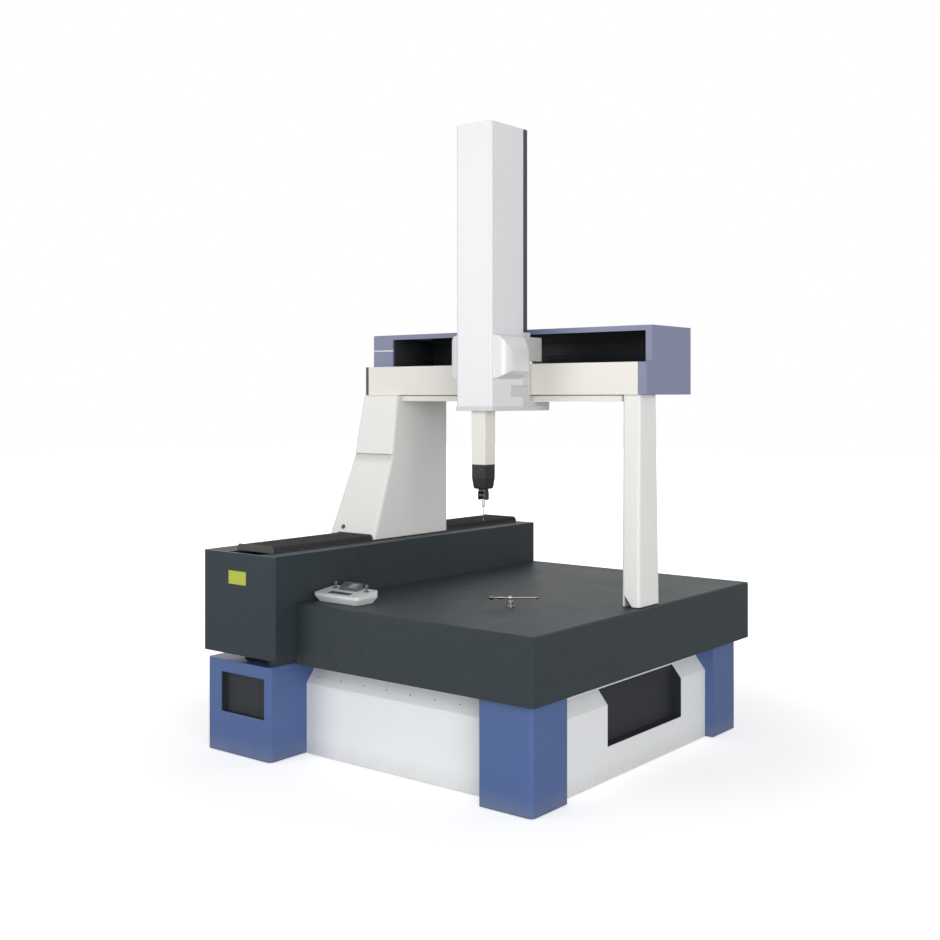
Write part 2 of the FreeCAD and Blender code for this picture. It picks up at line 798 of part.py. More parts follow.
def bellows_end(y0, y1, low):
    """Plate that the bellows are fixed to, a little larger than their section."""
    rim, bevel = bellows_plate_rim, bellows_height / 2
    x0, x1 = x_channel - bellows_width / 2 - rim, x_channel + bellows_width / 2 + rim
    high = bellows_bottom + bellows_height + rim
    return prism([(x0, y0, low), (x0, y0, high - bevel), (x0 + bevel, y0, high),
                  (x1 - bevel, y0, high), (x1, y0, high - bevel), (x1, y0, low)], V(0, y1 - y0, 0))


# ---------------------------------------------------------------- bridge
def leg_section(z, depth, wall=0.0):
    """Outline of the leg, or of its hollow, at height z with that depth from its back."""
    share = (z - leg_bottom) / (leg_top - leg_bottom)
    width = leg_foot_width + (leg_top_width - leg_foot_width) * share
    return outline(x_leg_inner - width + wall, x_leg_inner - wall, y_leg_back - depth + wall,
                   y_leg_back - wall, z, [leg_corner_radius - wall] * 4)


def left_leg():
    """Wide cast leg, hollow from below: it leans forward to its foot, with a ledge across its face."""
    low_depth = leg_kink_depth - leg_ledge
    lower = Part.makeLoft([leg_section(leg_bottom, leg_foot_depth), leg_section(leg_kink_height, low_depth)],
                          True, True)
    upper = Part.makeLoft([leg_section(leg_kink_height, leg_kink_depth), leg_section(leg_top, leg_top_depth)],
                          True, True)
    hollow_low = Part.makeLoft([leg_section(leg_bottom, leg_foot_depth, leg_wall),
                                leg_section(leg_kink_height, low_depth, leg_wall)], True, True)
    hollow_high = Part.makeLoft([leg_section(leg_kink_height, low_depth, leg_wall),
                                 leg_section(leg_top - leg_wall, leg_top_depth, leg_wall)], True, True)
    inset = spacer_thickness + 1
    top = block(x_leg_inner - leg_top_width + inset, x_leg_inner - inset,
                y_leg_back - leg_top_depth + leg_corner_radius, y_leg_back - leg_corner_radius,
                leg_top, beam_bottom)
    return fuse([lower, upper, top]).cut([hollow_low, hollow_high, leg_face_groove()])


def leg_face_groove():
    """Wedge cut out of the leg's face just under the ledge."""
    slope = (leg_foot_depth - leg_kink_depth + leg_ledge) / (leg_kink_height - leg_bottom)
    y_face = y_leg_back - leg_kink_depth + leg_ledge
    z_low = leg_kink_height - leg_groove_height
    x0, x1 = x_leg_inner - leg_top_width - leg_corner_radius, x_leg_inner - leg_corner_radius
    y_low = y_face - slope * leg_groove_height
    return prism([(x0, y_face - leg_ledge, leg_kink_height), (x0, y_face + leg_groove, leg_kink_height),
                  (x0, y_low, z_low), (x0, y_low - leg_ledge, z_low)], V(x1 - x0, 0, 0))


y_truck = (y_leg_front + y_leg_back) / 2
truck_bottom = channel_floor + air_gap + pad_thickness


def leg_truck():
    """Block under the leg that runs in the guide's slot."""
    half, length = truck_width / 2, truck_length / 2
    return block(x_channel - half, x_channel + half, y_truck - length, y_truck + length,
                 truck_bottom, leg_bottom)


def bridge_air_bearings():
    """Air bearing pads of the truck, and the one under the column with its stem."""
    pads = []
    reach = truck_length / 2 - pad_radius
    for y in (y_truck - reach, y_truck, y_truck + reach):
        pads.append(rod(pad_radius, V(x_channel, y, channel_floor + air_gap), V(x_channel, y, truck_bottom)))
    level = (truck_bottom + guide_top) / 2
    for side in (-1, 1):
        for y in (y_truck - reach, y_truck + reach):
            pads.append(rod(side_pad_radius, V(x_channel + side * truck_width / 2, y, level),
                            V(x_channel + side * (channel_width / 2 - air_gap), y, level)))
    x = (x_column_left + x_column_right) / 2
    y = y_column_front + column_depth / 2
    low = table_top + air_gap
    disc = rod(column_pad_radius, V(x, y, low), V(x, y, low + column_pad_thickness))
    stem = rod(pad_stem_radius, V(x, y, low), V(x, y, column_bottom + column_pocket))
    return pads + [disc.fuse(stem).removeSplitter()]


y_plate_front = y_leg_front - panel_gap


def bellows_moving_plates():
    """Plates on the leg's front and back; the front one has a tab under the leg."""
    front = bellows_end(y_plate_front - bellows_plate, y_plate_front, bellows_bottom)
    half = truck_width / 2
    tab = block(x_channel - half, x_channel + half, y_plate_front, y_truck - truck_length / 2,
                bellows_bottom, leg_bottom)
    return [front.fuse(tab), bellows_end(y_leg_back, y_leg_back + bellows_plate, bellows_bottom)]


def right_column():
    """Slim column with a spread foot, hollow round its air bearing."""
    lean = column_foot_depth - column_depth - column_foot_back
    radii = [column_radius] * 4
    foot = outline(x_column_left, x_column_right, y_column_front - lean,
                   y_column_front - lean + column_foot_depth, column_bottom, radii)
    top = outline(x_column_left, x_column_right, y_column_front, y_column_front + column_depth, beam_bottom, radii)
    column = Part.makeLoft([foot, top], True, True)
    wall = column_wall
    pocket = rounded(x_column_left + wall, x_column_right - wall, y_column_front, y_column_front + column_depth,
                     column_bottom - 1, column_bottom + column_pocket, column_radius - wall)
    x0 = x_column_left + foot_hole_side
    hole = prism([(x0, y_column_front - 2 * lean, column_bottom - 1),
                  (x0 + foot_hole_width, y_column_front - 2 * lean, column_bottom - 1),
                  (x0, y_column_front - 2 * lean, column_bottom + foot_hole_height)], V(0, 3 * lean, 0))
    return column.cut([pocket, hole])


def beam():
    """Hollow beam that the carriage runs on."""
    x0 = x_beam_left + beam_cap_thickness
    outer = block(x0, x_beam_right, y_beam_front, y_beam_back, beam_bottom, beam_top)
    w = beam_wall
    return outer.cut(block(x0 - 1, x_beam_right + 1, y_beam_front + w, y_beam_back - w,
                           beam_bottom + w, beam_top - w))


def beam_end_cap():
    return block(x_beam_left, x_beam_left + beam_cap_thickness, y_beam_front, y_beam_back, beam_bottom, beam_top)


def lower_rail():
    """Guide strip under the beam, on a narrower spine."""
    strip = block(x_rail_left, x_rail_right, y_rail_front, y_rail_front + rail_depth,
                  rail_bottom, rail_bottom + rail_height)
    margin = (rail_depth - rail_spine_depth) / 2
    spine = block(x_rail_left, x_rail_right, y_rail_front + margin, y_rail_front + margin + rail_spine_depth,
                  rail_bottom + rail_height, beam_bottom)
    return strip.fuse(spine)


def hood():
    """Folded cover over the beam's back, open at the front under its lip."""
    s, low = sheet, beam_bottom + panel_gap
    points = [(y_hood_front, hood_top - hood_lip), (y_hood_front, hood_top), (y_hood_back, hood_top),
              (y_hood_back, low), (y_hood_back - s, low), (y_hood_back - s, hood_top - s),
              (y_hood_front + s, hood_top - s), (y_hood_front + s, hood_top - hood_lip)]
    return prism([(x_recess_left, y, z) for y, z in points], V(x_recess_right - x_recess_left, 0, 0))


def hood_ends():
    """Left box round the idler pulley, and the thick right end that also caps the beam."""
    low, s = beam_bottom + panel_gap, sheet
    section = [(y_hood_front, beam_top), (y_hood_front, hood_top), (y_hood_back, hood_top),
               (y_hood_back, low), (y_beam_back, low), (y_beam_back, beam_top)]
    left = prism([(x_hood_left, y, z) for y, z in section], V(hood_left_end, 0, 0))
    room = block(x_hood_left + s, x_recess_left - s, y_hood_front + s, y_hood_back - s, beam_top + s, hood_top - s)
    flange = pulley_radius + pulley_rim + pulley_flange
    slot = block(x_recess_left - 2 * s, x_recess_left + 1, y_belt - belt_width, y_belt + belt_width,
                 belt_level - flange, belt_level + flange)
    pin = rod(pulley_shaft_radius, V(x_idler, y_belt - belt_width / 2, belt_level),
              V(x_idler, y_hood_back - s / 2, belt_level))
    left = left.cut([room, slot]).fuse(pin)
    y_low = y_beam_front + hood_right_front
    upper = prism([(x_recess_right, y, z) for y, z in
                   ((y_hood_front, low), (y_hood_front, hood_top), (y_hood_back, hood_top), (y_hood_back, low))],
                  V(hood_right_thickness, 0, 0))
    lower = block(x_beam_right, x_hood_right, y_low, y_beam_back, low, beam_top)
    return [left, upper.fuse(lower).removeSplitter()]


def recess_lining():
    """Dark sheet behind the X drive: roof, back and floor."""
    s = lining_sheet
    roof, floor = hood_top - sheet - hood_top_gap, beam_top
    y0, y1, y2 = y_hood_front + sheet + hood_top_gap, y_lining_back, y_beam_back - lining_overlap
    points = [(y0, roof), (y1, roof), (y1, floor), (y2, floor), (y2, floor + s), (y1 - s, floor + s),
              (y1 - s, roof - s), (y0, roof - s)]
    return prism([(x_recess_left, y, z) for y, z in points], V(x_recess_right - x_recess_left, 0, 0))


def x_drive_belt():
    """Flat belt round both pulleys."""
    loops = []
    for r in (pulley_radius + belt_gap + belt_thickness, pulley_radius + belt_gap):
        low, high = belt_level - r, belt_level + r
        y0 = y_belt - belt_width / 2
        edges = [Part.LineSegment(V(x_idler, y0, low), V(x_drive, y0, low)).toShape(),
                 Part.Arc(V(x_drive, y0, low), V(x_drive + r, y0, belt_level), V(x_drive, y0, high)).toShape(),
                 Part.LineSegment(V(x_drive, y0, high), V(x_idler, y0, high)).toShape(),
                 Part.Arc(V(x_idler, y0, high), V(x_idler - r, y0, belt_level), V(x_idler, y0, low)).toShape()]
        loops.append(Part.Face(Part.Wire(edges)).extrude(V(0, belt_width, 0)))
    return loops[0].cut(loops[1])


def pulley(x, bored):
    """Flanged pulley on an axis along Y; bored for a pin, or with its own shaft behind."""
    half = belt_width / 2 + pulley_side_gap
    y0, y1 = y_belt - half - pulley_flange, y_belt + half + pulley_flange
    flange = pulley_radius + pulley_rim
    wheel = fuse([rod(pulley_radius, V(x, y0, belt_level), V(x, y1, belt_level)),
                  rod(flange, V(x, y0, belt_level), V(x, y0 + pulley_flange, belt_level)),
                  rod(flange, V(x, y1 - pulley_flange, belt_level), V(x, y1, belt_level))])
    if bored:
        bore = pulley_shaft_radius + shaft_clearance
        return wheel.cut(rod(bore, V(x, y0 - 1, belt_level), V(x, y1 + 1, belt_level)))
    return fuse([wheel, rod(pulley_shaft_radius, V(x, y1, belt_level), V(x, y_motor + shaft_depth, belt_level))])


y_motor = y_lining_back - lining_sheet - motor_length


def x_drive_motor():
    """Square motor on the lining, with a bore for the drive pulley's shaft."""
    half = motor_size / 2
    body = block(x_drive - half, x_drive + half, y_motor, y_lining_back - lining_sheet,
                 belt_level - half, belt_level + half)
    bore = rod(pulley_shaft_radius + shaft_clearance, V(x_drive, y_motor - 1, belt_level),
               V(x_drive, y_motor + shaft_depth + 1, belt_level))
    return body.cut(bore)


def x_scale():
    """Steel scale on top of the beam, behind the carriage's arm."""
    y0 = y_beam_front + upper_arm_reach + 2 * scale_width
    return block(x_rail_left, x_rail_right, y0, y0 + scale_width, beam_top, beam_top + scale_thickness)


# ---------------------------------------------------------------- carriage
x_core_left = x_carriage_left + cover_wall + core_gap
x_core_right = x_carriage_right - cover_wall - core_gap
y_core_front = y_cover_front + cover_wall + core_gap
core_top = arm_top
y_bore_back = y_ram + bore_half
y_pocket_front = y_bore_back + pocket_margin
y_pocket_back = y_cover_back - pocket_margin
pocket_floor = cover_bottom + pocket_margin
x_cylinder = x_core_left + pocket_margin + cylinder_radius + 4
y_cylinder = (y_pocket_front + y_pocket_back) / 2
y_notch = y_cover_front + notch_start


def notch(x0, x1):
    return block(x0, x1, y_notch, y_notch + notch_length, notch_bottom, notch_bottom + notch_height)


def carriage_body():
    """Casting: bearing core round the ram, back, arms over and under the beam, and belt clamp."""
    low = cover_bottom
    x0, x1, y0 = x_carriage_left, x_carriage_right, y_cover_back
    r = cover_radius - cover_wall
    core = rounded(x_core_left, x_core_right, y_core_front, y0, low, core_top, [r, r, 0, 0])
    back = block(x0, x1, y0, y_body_back, low, carriage_top)
    under = block(x0, x1, y_body_back, y_beam_front + lower_arm_reach, low, lower_arm_top)
    over = block(x0, x1, y_body_back, y_beam_front + upper_arm_reach, arm_bottom, arm_top)
    jaw, gap = clamp_jaw, clamp_gap
    run_low = belt_level - pulley_radius - belt_gap - belt_thickness
    run_high = run_low + belt_thickness
    clamp_low, clamp_high = arm_bottom + jaw, run_high + gap + jaw
    y_web, y_end = y_belt - belt_width / 2 - gap, y_belt + belt_width / 2
    c0, c1 = x0 + clamp_side, x0 + clamp_side + clamp_width
    web = block(c0, c1, y_beam_front + upper_arm_reach, y_web, clamp_low, clamp_high)
    lower_jaw = block(c0, c1, y_web, y_end, clamp_low, run_low - gap)
    upper_jaw = block(c0, c1, y_web, y_end, run_high + gap, clamp_high)
    body = fuse([core, back, under, over, web, lower_jaw, upper_jaw])
    bore = block(x_ram - bore_half, x_ram + bore_half, y_ram - bore_half, y_ram + bore_half, low - 1, core_top + 1)
    pocket = block(x_core_left + pocket_margin, x_core_right - pocket_margin, y_pocket_front, y_pocket_back,
                   pocket_floor, core_top + 1)
    return body.cut([bore, pocket, notch(x_core_right, x1 + 1), notch(x0 - 1, x_core_left)])


def z_cover():
    """Tall cover round the ram: front, both sides and top, open at the back."""
    x0, x1, y0, y1 = x_carriage_left, x_carriage_right, y_cover_front, y_cover_back
    w, r = cover_wall, cover_radius
    outer = rounded(x0, x1, y0, y1, cover_bottom, cover_top, [r, r, 0, 0])
    inner = rounded(x0 + w, x1 - w, y0 + w, y1 + w, cover_bottom - 1, cover_top - top_cap_thickness,
                    [r - w, r - w, 0, 0])
    return outer.cut([inner, notch(x1 - 2 * w, x1 + 1), notch(x0 - 1, x0 + 2 * w)])


def z_cover_back():
    """Channel that closes the Z cover's back above the carriage."""
    x0, x1, w = x_carriage_left, x_carriage_right, sheet
    outer = block(x0, x1, y_cover_back, y_cover_back + cover_back_depth, carriage_top, cover_top)
    return outer.cut(block(x0 + w, x1 - w, y_cover_back - 1, y_cover_back + cover_back_depth - w,
                           carriage_top - 1, cover_top - w))


def bottom_plate():
    """Plate under the carriage with a square hole for the ram."""
    half = ram_size / 2 + ram_clearance
    plate = rounded(x_carriage_left - plate_overlap, x_carriage_right + plate_overlap, y_cover_front,
                    y_beam_front + lower_arm_reach, plate_bottom, cover_bottom, plate_radius)
    return plate.cut(block(x_ram - half, x_ram + half, y_ram - half, y_ram + half, plate_bottom - 1, cover_bottom + 1))


def curved_prism(spans, path):
    """Solid whose outline is a run of points joined by straight or smooth spans, extruded along path."""
    edges = []
    for points in spans:
        points = [V(*p) for p in points]
        if len(points) == 2:
            edges.append(Part.LineSegment(*points).toShape())
        else:
            curve = Part.BSplineCurve()
            curve.interpolate(points)
            edges.append(curve.toShape())
    return Part.Face(Part.Wire(edges)).extrude(path)


def fairing(x, side):
    """Rounded bulge on one side of the carriage: a curved profile seen from the front and from above."""
    y0, low, high = y_cover_front + fairing_front, fairing_bottom, fairing_top
    y1, full = y0 + fairing_depth, x + side * fairing_bulge
    z_full, z_tuck = high - fairing_slope, low + fairing_tuck
    shoulder = x + side * fairing_shoulder
    front = curved_prism([[(x, y0, low), (x, y0, high)],
                          [(x, y0, high), (shoulder, y0, high - fairing_front)],
                          [(shoulder, y0, high - fairing_front),
                           (full - side * fairing_shoulder / 4, y0, (high + z_full) / 2), (full, y0, z_full)],
                          [(full, y0, z_full), (full, y0, z_tuck)],
                          [(full, y0, z_tuck), (x + side * fairing_bulge / 2, y0, low + fairing_tuck / 4),
                           (x, y0, low)]], V(0, fairing_depth, 0))
    nose = y0 + fairing_nose
    above = curved_prism([[(x, y0, low), (x, y1, low)],
                          [(x, y1, low), (full, y1 - fairing_tail, low)],
                          [(full, y1 - fairing_tail, low), (full, nose, low)],
                          [(full, nose, low), (x + side * fairing_bulge * 0.75, y0 + fairing_nose / 3, low),
                           (x, y0, low)]], V(0, 0, high - low))
    return front.common(above)


def side_fairings():
    return [fairing(x_carriage_right, 1), fairing(x_carriage_left, -1)]


def carriage_air_bearings():
    """Pads on the beam's face and top, and round the ram at two levels."""
    pads = []
    spread = carriage_width / 2 - pad_side_inset
    for x in (x_ram - spread, x_ram + spread):
        for z in (beam_bottom + face_pad_edge, beam_top - face_pad_edge):
            pads.append(rod(face_pad_radius, V(x, y_body_back, z), V(x, y_beam_front - air_gap, z)))
        y = y_beam_front + upper_arm_reach / 2
        pads.append(rod(top_pad_radius, V(x, y, beam_top + air_gap), V(x, y, arm_bottom)))
    for z in (cover_bottom + 2 * ram_pad_radius, core_top - 2 * ram_pad_radius):
        for dx, dy in ((1, 0), (-1, 0), (0, 1), (0, -1)):
            way = V(dx, dy, 0)
            centre = V(x_ram, y_ram, z)
            pads.append(rod(ram_pad_radius, centre + way * ram_pad_half, centre + way * bore_half))
    return pads


def z_balance_cylinder():
    """Air cylinder beside the ram that carries its weight."""
    low = V(x_cylinder, y_cylinder, pocket_floor)
    high = V(x_cylinder, y_cylinder, cylinder_top)
    floor = low + V(0, 0, cylinder_floor)
    tube = rod(cylinder_radius, low, high)
    chamber = rod(cylinder_bore, floor, high - V(0, 0, cylinder_cap))
    return tube.cut([chamber, rod(rod_radius + rod_clearance, floor, high + V(0, 0, 1))])


# ---------------------------------------------------------------- ram and probe
def ram():
    """Square tube, closed at its lower end."""
    half, w = ram_size / 2, ram_wall
    outer = rounded(x_ram - half, x_ram + half, y_ram - half, y_ram + half, ram_bottom, ram_top, ram_radius)
    return outer.cut(block(x_ram - half + w, x_ram + half - w, y_ram - half + w, y_ram + half - w,
                           ram_bottom + 2 * w, ram_top + 1))


def z_balance_rod():
    """Rod and piston of the balance cylinder, with the bracket on top of the ram."""
    piston_low = ram_top - rod_length
    stem = rod(rod_radius, V(x_cylinder, y_cylinder, piston_low), V(x_cylinder, y_cylinder, ram_top))
    piston = rod(cylinder_bore - piston_clearance, V(x_cylinder, y_cylinder, piston_low),
                 V(x_cylinder, y_cylinder, piston_low + piston_height))
    half = ram_size / 2
    bracket = block(x_cylinder - 1.5 * rod_radius, x_ram + half, y_ram - half, y_cylinder + 1.5 * rod_radius,
                    ram_top, ram_top + bracket_thickness)
    return fuse([stem, piston, bracket])


def probe_head():
    """Square head as wide as the ram, drawn in towards its lower end."""
    half = ram_size / 2
    middle = head_bottom + head_taper_height
    radii = [head_radius] * 4
    upper = rounded(x_ram - half, x_ram + half, y_ram - half, y_ram + half, middle, ram_bottom, radii)
    small = half - head_taper
    wires = [outline(x_ram - h, x_ram + h, y_ram - h, y_ram + h, z, radii)
             for h, z in ((small - head_edge, head_bottom), (small, head_bottom + head_edge_height), (half, middle))]
    lower = Part.makeLoft(wires, True, True)
    spindle = rod(spindle_radius, V(x_ram, y_ram, head_bottom - 1), V(x_ram, y_ram, head_bottom + spindle_depth))
    return upper.fuse(lower).removeSplitter().cut(spindle)


def head_rotor():
    """Turning part of the head: spindle, neck and the two ears of the tilt joint."""
    neck_low = head_bottom - rotor_height
    neck = rod(rotor_radius, V(x_ram, y_ram, neck_low), V(x_ram, y_ram, head_bottom - joint_gap))
    spindle = rod(spindle_radius - spindle_clearance, V(x_ram, y_ram, neck_low),
                  V(x_ram, y_ram, head_bottom + spindle_depth - 1))
    parts = [neck, spindle]
    inner = knuckle_width / 2 + joint_gap
    for side in (-1, 1):
        x0, x1 = x_ram + side * inner, x_ram + side * (inner + ear_thickness)
        disc = rod(ear_radius, V(x0, y_ram, tilt_level), V(x1, y_ram, tilt_level))
        half = ear_radius - ear_web_inset
        web = block(min(x0, x1), max(x0, x1), y_ram - half, y_ram + half, tilt_level, neck_low)
        parts += [disc, web]
    pin_hole = rod(pivot_radius + pin_clearance, V(x_ram - 2 * inner, y_ram, tilt_level),
                   V(x_ram + 2 * inner, y_ram, tilt_level))
    limit = rod(rotor_radius + head_edge / 2, V(x_ram, y_ram, tilt_level - 2 * ear_radius),
                V(x_ram, y_ram, head_bottom + spindle_depth))
    return fuse(parts).common(limit).cut(pin_hole)


def probe_knuckle():
    """Barrel that tilts between the ears, with its pivot pin."""
    half = knuckle_width / 2
    barrel = rod(knuckle_radius, V(x_ram - half, y_ram, tilt_level), V(x_ram + half, y_ram, tilt_level))
    reach = half + joint_gap + ear_thickness - 1
    pin = rod(pivot_radius, V(x_ram - reach, y_ram, tilt_level), V(x_ram + reach, y_ram, tilt_level))
    return fuse([barrel, pin])


def touch_probe():
    """Probe body seated on the barrel."""
    nose = probe_nose_height
    profile = [(0, 0), (probe_nose_radius, 0), (probe_nose_radius, nose), (probe_radius, 1.5 * nose),
               (probe_radius, probe_length), (0, probe_length)]
    body = turned(profile, V(x_ram, y_ram, probe_bottom))
    return body.cut(probe_knuckle())


def stylus():
    """Thin stylus with its ball tip."""
    low = stylus_bottom + tip_radius
    stem = rod(stylus_radius, V(x_ram, y_ram, low), V(x_ram, y_ram, probe_bottom))
    return stem.fuse(Part.makeSphere(tip_radius, V(x_ram, y_ram, low)))


# ---------------------------------------------------------------- hand pendant
x_pendant = x_table_left + pendant_side
y_pendant = y_table_front + pendant_front
pendant_slope = math.atan2(pendant_back_height - pendant_front_height, pendant_depth)


def pendant_height(y):
    """Height of the pendant's top above the table at y."""
    return pendant_front_height + (y - y_pendant) * math.tan(pendant_slope)


def on_pendant(shape):
    """Lay a shape, drawn flat from the pendant's front left corner, on its sloping top."""
    shape = shape.copy()
    shape.rotate(V(0, 0, 0), V(1, 0, 0), math.degrees(pendant_slope))
    shape.translate(V(x_pendant, y_pendant, table_top + pendant_front_height))
    return shape


y_stick = y_pendant + pendant_depth - stick_back
stick_level = table_top + pendant_height(y_stick) - stick_drop
STICKS = {"left": x_pendant + stick_side, "right": x_pendant + pendant_width - stick_side}


def pendant_wires(inset, z):
    return outline(x_pendant + inset, x_pendant + pendant_width - inset, y_pendant + inset,
                   y_pendant + pendant_depth - inset, z, [pendant_radius] * 4)


def pendant_lower_shell():
    """Tray that widens from its foot to the seam."""
    seam = table_top + pendant_seam
    outer = Part.makeLoft([pendant_wires(pendant_foot_inset, table_top), pendant_wires(0, seam)], True, True)
    w = pendant_wall
    inner = Part.makeLoft([pendant_wires(pendant_foot_inset + w, table_top + w), pendant_wires(w, seam + 1)],
                          True, True)
    return fuse([outer.cut(inner)] + gimbal_posts())


def gimbal_posts():
    """Pairs of posts on the tray's floor that carry the gimbals' pins."""
    posts, half = [], gimbal_post_width / 2
    outer = gimbal_pin_reach
    for x in STICKS.values():
        for side in (-1, 1):
            x0, x1 = sorted((x + side * (outer - gimbal_post_thickness), x + side * outer))
            posts.append(block(x0, x1, y_stick - half, y_stick + half, table_top, stick_level + gimbal_post_rise))
    hole = gimbal_pin_radius + pin_clearance
    bores = [rod(hole, V(x - 2 * outer, y_stick, stick_level), V(x + 2 * outer, y_stick, stick_level))
             for x in STICKS.values()]
    return [post.cut(bores) for post in posts]


def pendant_upper_shell():
    """Sloping lid with a round opening for each joystick."""
    seam, w = table_top + pendant_seam, pendant_wall
    high = pendant_back_height * 2
    outer = rounded(x_pendant, x_pendant + pendant_width, y_pendant, y_pendant + pendant_depth, seam,
                    table_top + high, pendant_radius)
    inner = rounded(x_pendant + w, x_pendant + pendant_width - w, y_pendant + w, y_pendant + pendant_depth - w,
                    seam - 1, table_top + high, pendant_radius - w)
    above = block(-1, pendant_width + 1, -high, pendant_depth + high, 0, high)
    lid = outer.cut(on_pendant(above))
    above.translate(V(0, 0, -w))
    room = inner.cut(on_pendant(above))
    holes = [Part.makeSphere(stick_dome_radius + stick_gap, V(x, y_stick, stick_level)) for x in STICKS.values()]
    return lid.cut([room] + holes)


def pendant_display():
    """Raised display housing with a shallow screen recess in its tilted face."""
    x0, y0 = (pendant_width - display_width) / 2, pendant_depth - display_depth - display_back
    run, rise = display_depth - display_ledge, display_rise - display_front_rise
    housing = prism([(x0, y0, 0), (x0, y0, display_front_rise), (x0, y0 + run, display_rise),
                     (x0, y0 + display_depth, display_rise), (x0, y0 + display_depth, 0)], V(display_width, 0, 0))
    screen = block(screen_side, display_width - screen_side, screen_end, math.hypot(rise, run) - screen_end,
                   -screen_recess, screen_recess)
    screen.rotate(V(0, 0, 0), V(1, 0, 0), math.degrees(math.atan2(rise, run)))
    screen.translate(V(x0, y0, display_front_rise))
    return on_pendant(housing.cut(screen))


def pendant_keypad():
    """Rubber mat with two rows of keys in front of the display."""
    count, half = 2 * key_columns, key_size / 2
    width = (count - 1) * key_pitch + key_size + 2 * mat_margin
    depth = (key_rows - 1) * key_pitch + key_size + 2 * mat_margin
    x0 = (pendant_width - width) / 2
    keys = [block(x0, x0 + width, mat_front, mat_front + depth, 0, key_height)]
    for i in range(count):
        for j in range(key_rows):
            kx = x0 + mat_margin + half + i * key_pitch
            ky = mat_front + mat_margin + half + j * key_pitch
            keys.append(block(kx - half, kx + half, ky - half, ky + half, 0, 2 * key_height))
    return on_pendant(fuse(keys))


def gimbal(x):
    """Ring with two pins outwards along X, and holes for the joystick's pins along Y."""
    half, r = gimbal_thickness / 2, gimbal_pin_radius
    low, high = V(x, y_stick, stick_level - half), V(x, y_stick, stick_level + half)
    reach = gimbal_pin_reach - pin_clearance
    pins = rod(r, V(x - reach, y_stick, stick_level), V(x + reach, y_stick, stick_level))
    room = Part.makeSphere(stick_ball_radius + joint_gap, V(x, y_stick, stick_level))
    holes = rod(r + pin_clearance, V(x, y_stick - reach, stick_level), V(x, y_stick + reach, stick_level))
    return rod(gimbal_radius, low, high).fuse(pins).cut([room, holes])


def faceted_ball(radius, centre, share=0.0):
    """Ball turned from straight facets; share leaves off that part of its height from below."""
    steps = 2 * ball_facets
    start = math.acos(1 - 2 * (1 - share))
    angles = [start * (1 - i / steps) for i in range(steps + 1)]
    points = [(radius * math.sin(a), radius * math.cos(a)) for a in angles]
    points = [(0, points[0][1])] + points if share else points
    return turned([(0 if abs(r) < 1e-9 else r, z) for r, z in points], centre)


def joystick(x):
    """Ball, dome that fills the lid's opening, stick and knob."""
    pivot = V(x, y_stick, stick_level)
    rim = (stick_dome_radius + stick_dome_rim) / (2 * stick_dome_radius)
    dome = faceted_ball(stick_dome_radius, pivot, rim)
    inside = faceted_ball(stick_dome_radius - stick_dome_sheet, pivot)
    top = stick_dome_radius + stick_height
    stick = rod(stick_radius, pivot, pivot + V(0, 0, top - knob_radius))
    knob = faceted_ball(knob_radius, pivot + V(0, 0, top - knob_radius))
    along = V(0, gimbal_radius - pin_clearance, 0)
    pins = rod(gimbal_pin_radius, pivot - along, pivot + along)
    return fuse([dome.cut(inside), faceted_ball(stick_ball_radius, pivot), stick, knob, pins])


# ---------------------------------------------------------------- ball bar
def ball_stand():
    """Turned steel stand with a cross clamp that holds the bar."""
    r, b, n = stand_radius, stand_body_radius, stand_neck_radius
    profile = [(0, 0), (r, 0), (r, stand_foot), (b, stand_body_low), (b, stand_body_high), (n, stand_neck),
               (n, stand_height), (0, stand_height)]
    stand = turned(profile, V(x_stand, y_stand, table_top))
    centre, way = bar_line()
    clamp = rod(clamp_head_radius, centre - way * clamp_head_half, centre + way * clamp_head_half)
    reach = way * (2 * clamp_head_half)
    return fuse([stand, clamp]).cut(rod(bar_radius, centre - reach, centre + reach))


def bar_line():
    """Middle of the clamp, and the bar's direction."""
    angle = math.radians(bar_angle)
    return V(x_stand, y_stand, table_top + stand_height), V(math.cos(angle), math.sin(angle), 0)


def ball_bar():
    """Bar through the stand's head, a reference ball at each end and a collar."""
    centre, way = bar_line()
    left, right = centre - way * bar_left, centre + way * bar_right
    bar = rod(bar_radius, left, right)
    collar = rod(collar_radius, centre - way * collar_end, centre - way * collar_start)
    return fuse([bar, collar, Part.makeSphere(big_ball_radius, left), Part.makeSphere(small_ball_radius, right)])


# ---------------------------------------------------------------- write the nodes
save("base_frame", base_frame())
save("levelling_feet", levelling_feet())
save("isolators", isolators())
save("right_corner_covers", right_corner_covers())
save("left_corner_covers", left_corner_covers())
save("front_panel", front_panel())
save("back_panel", back_panel())
save("right_panel", right_panel())
save("left_panel", left_panel())
save("recess_trays", recess_trays())
save("panel_screws", panel_screws())
save("granite_table", granite_table())
save("table_inserts", table_inserts())
save("y_guideway", y_guideway())
save("guide_end_covers", guide_end_covers())
save("blank_plate", blank_plate())
save("bellows_front", bellows(y_bellows_front, y_plate_front - bellows_plate))
save("bellows_back", bellows(y_leg_back + bellows_plate, y_bellows_back))
save("bellows_fixed_plates", [bellows_end(y_bellows_front - bellows_plate, y_bellows_front, guide_top),
                              bellows_end(y_bellows_back, y_bellows_back + bellows_plate, guide_top)])
save("left_leg", left_leg())
save("leg_truck", leg_truck())
save("bridge_air_bearings", bridge_air_bearings())
save("bellows_moving_plates", bellows_moving_plates())
save("right_column", right_column())
save("beam", beam())
save("beam_end_cap", beam_end_cap())
save("lower_rail", lower_rail())
save("hood", hood())
save("hood_ends", hood_ends())
save("recess_lining", recess_lining())
save("x_drive_belt", x_drive_belt())
save("x_drive_motor", x_drive_motor())
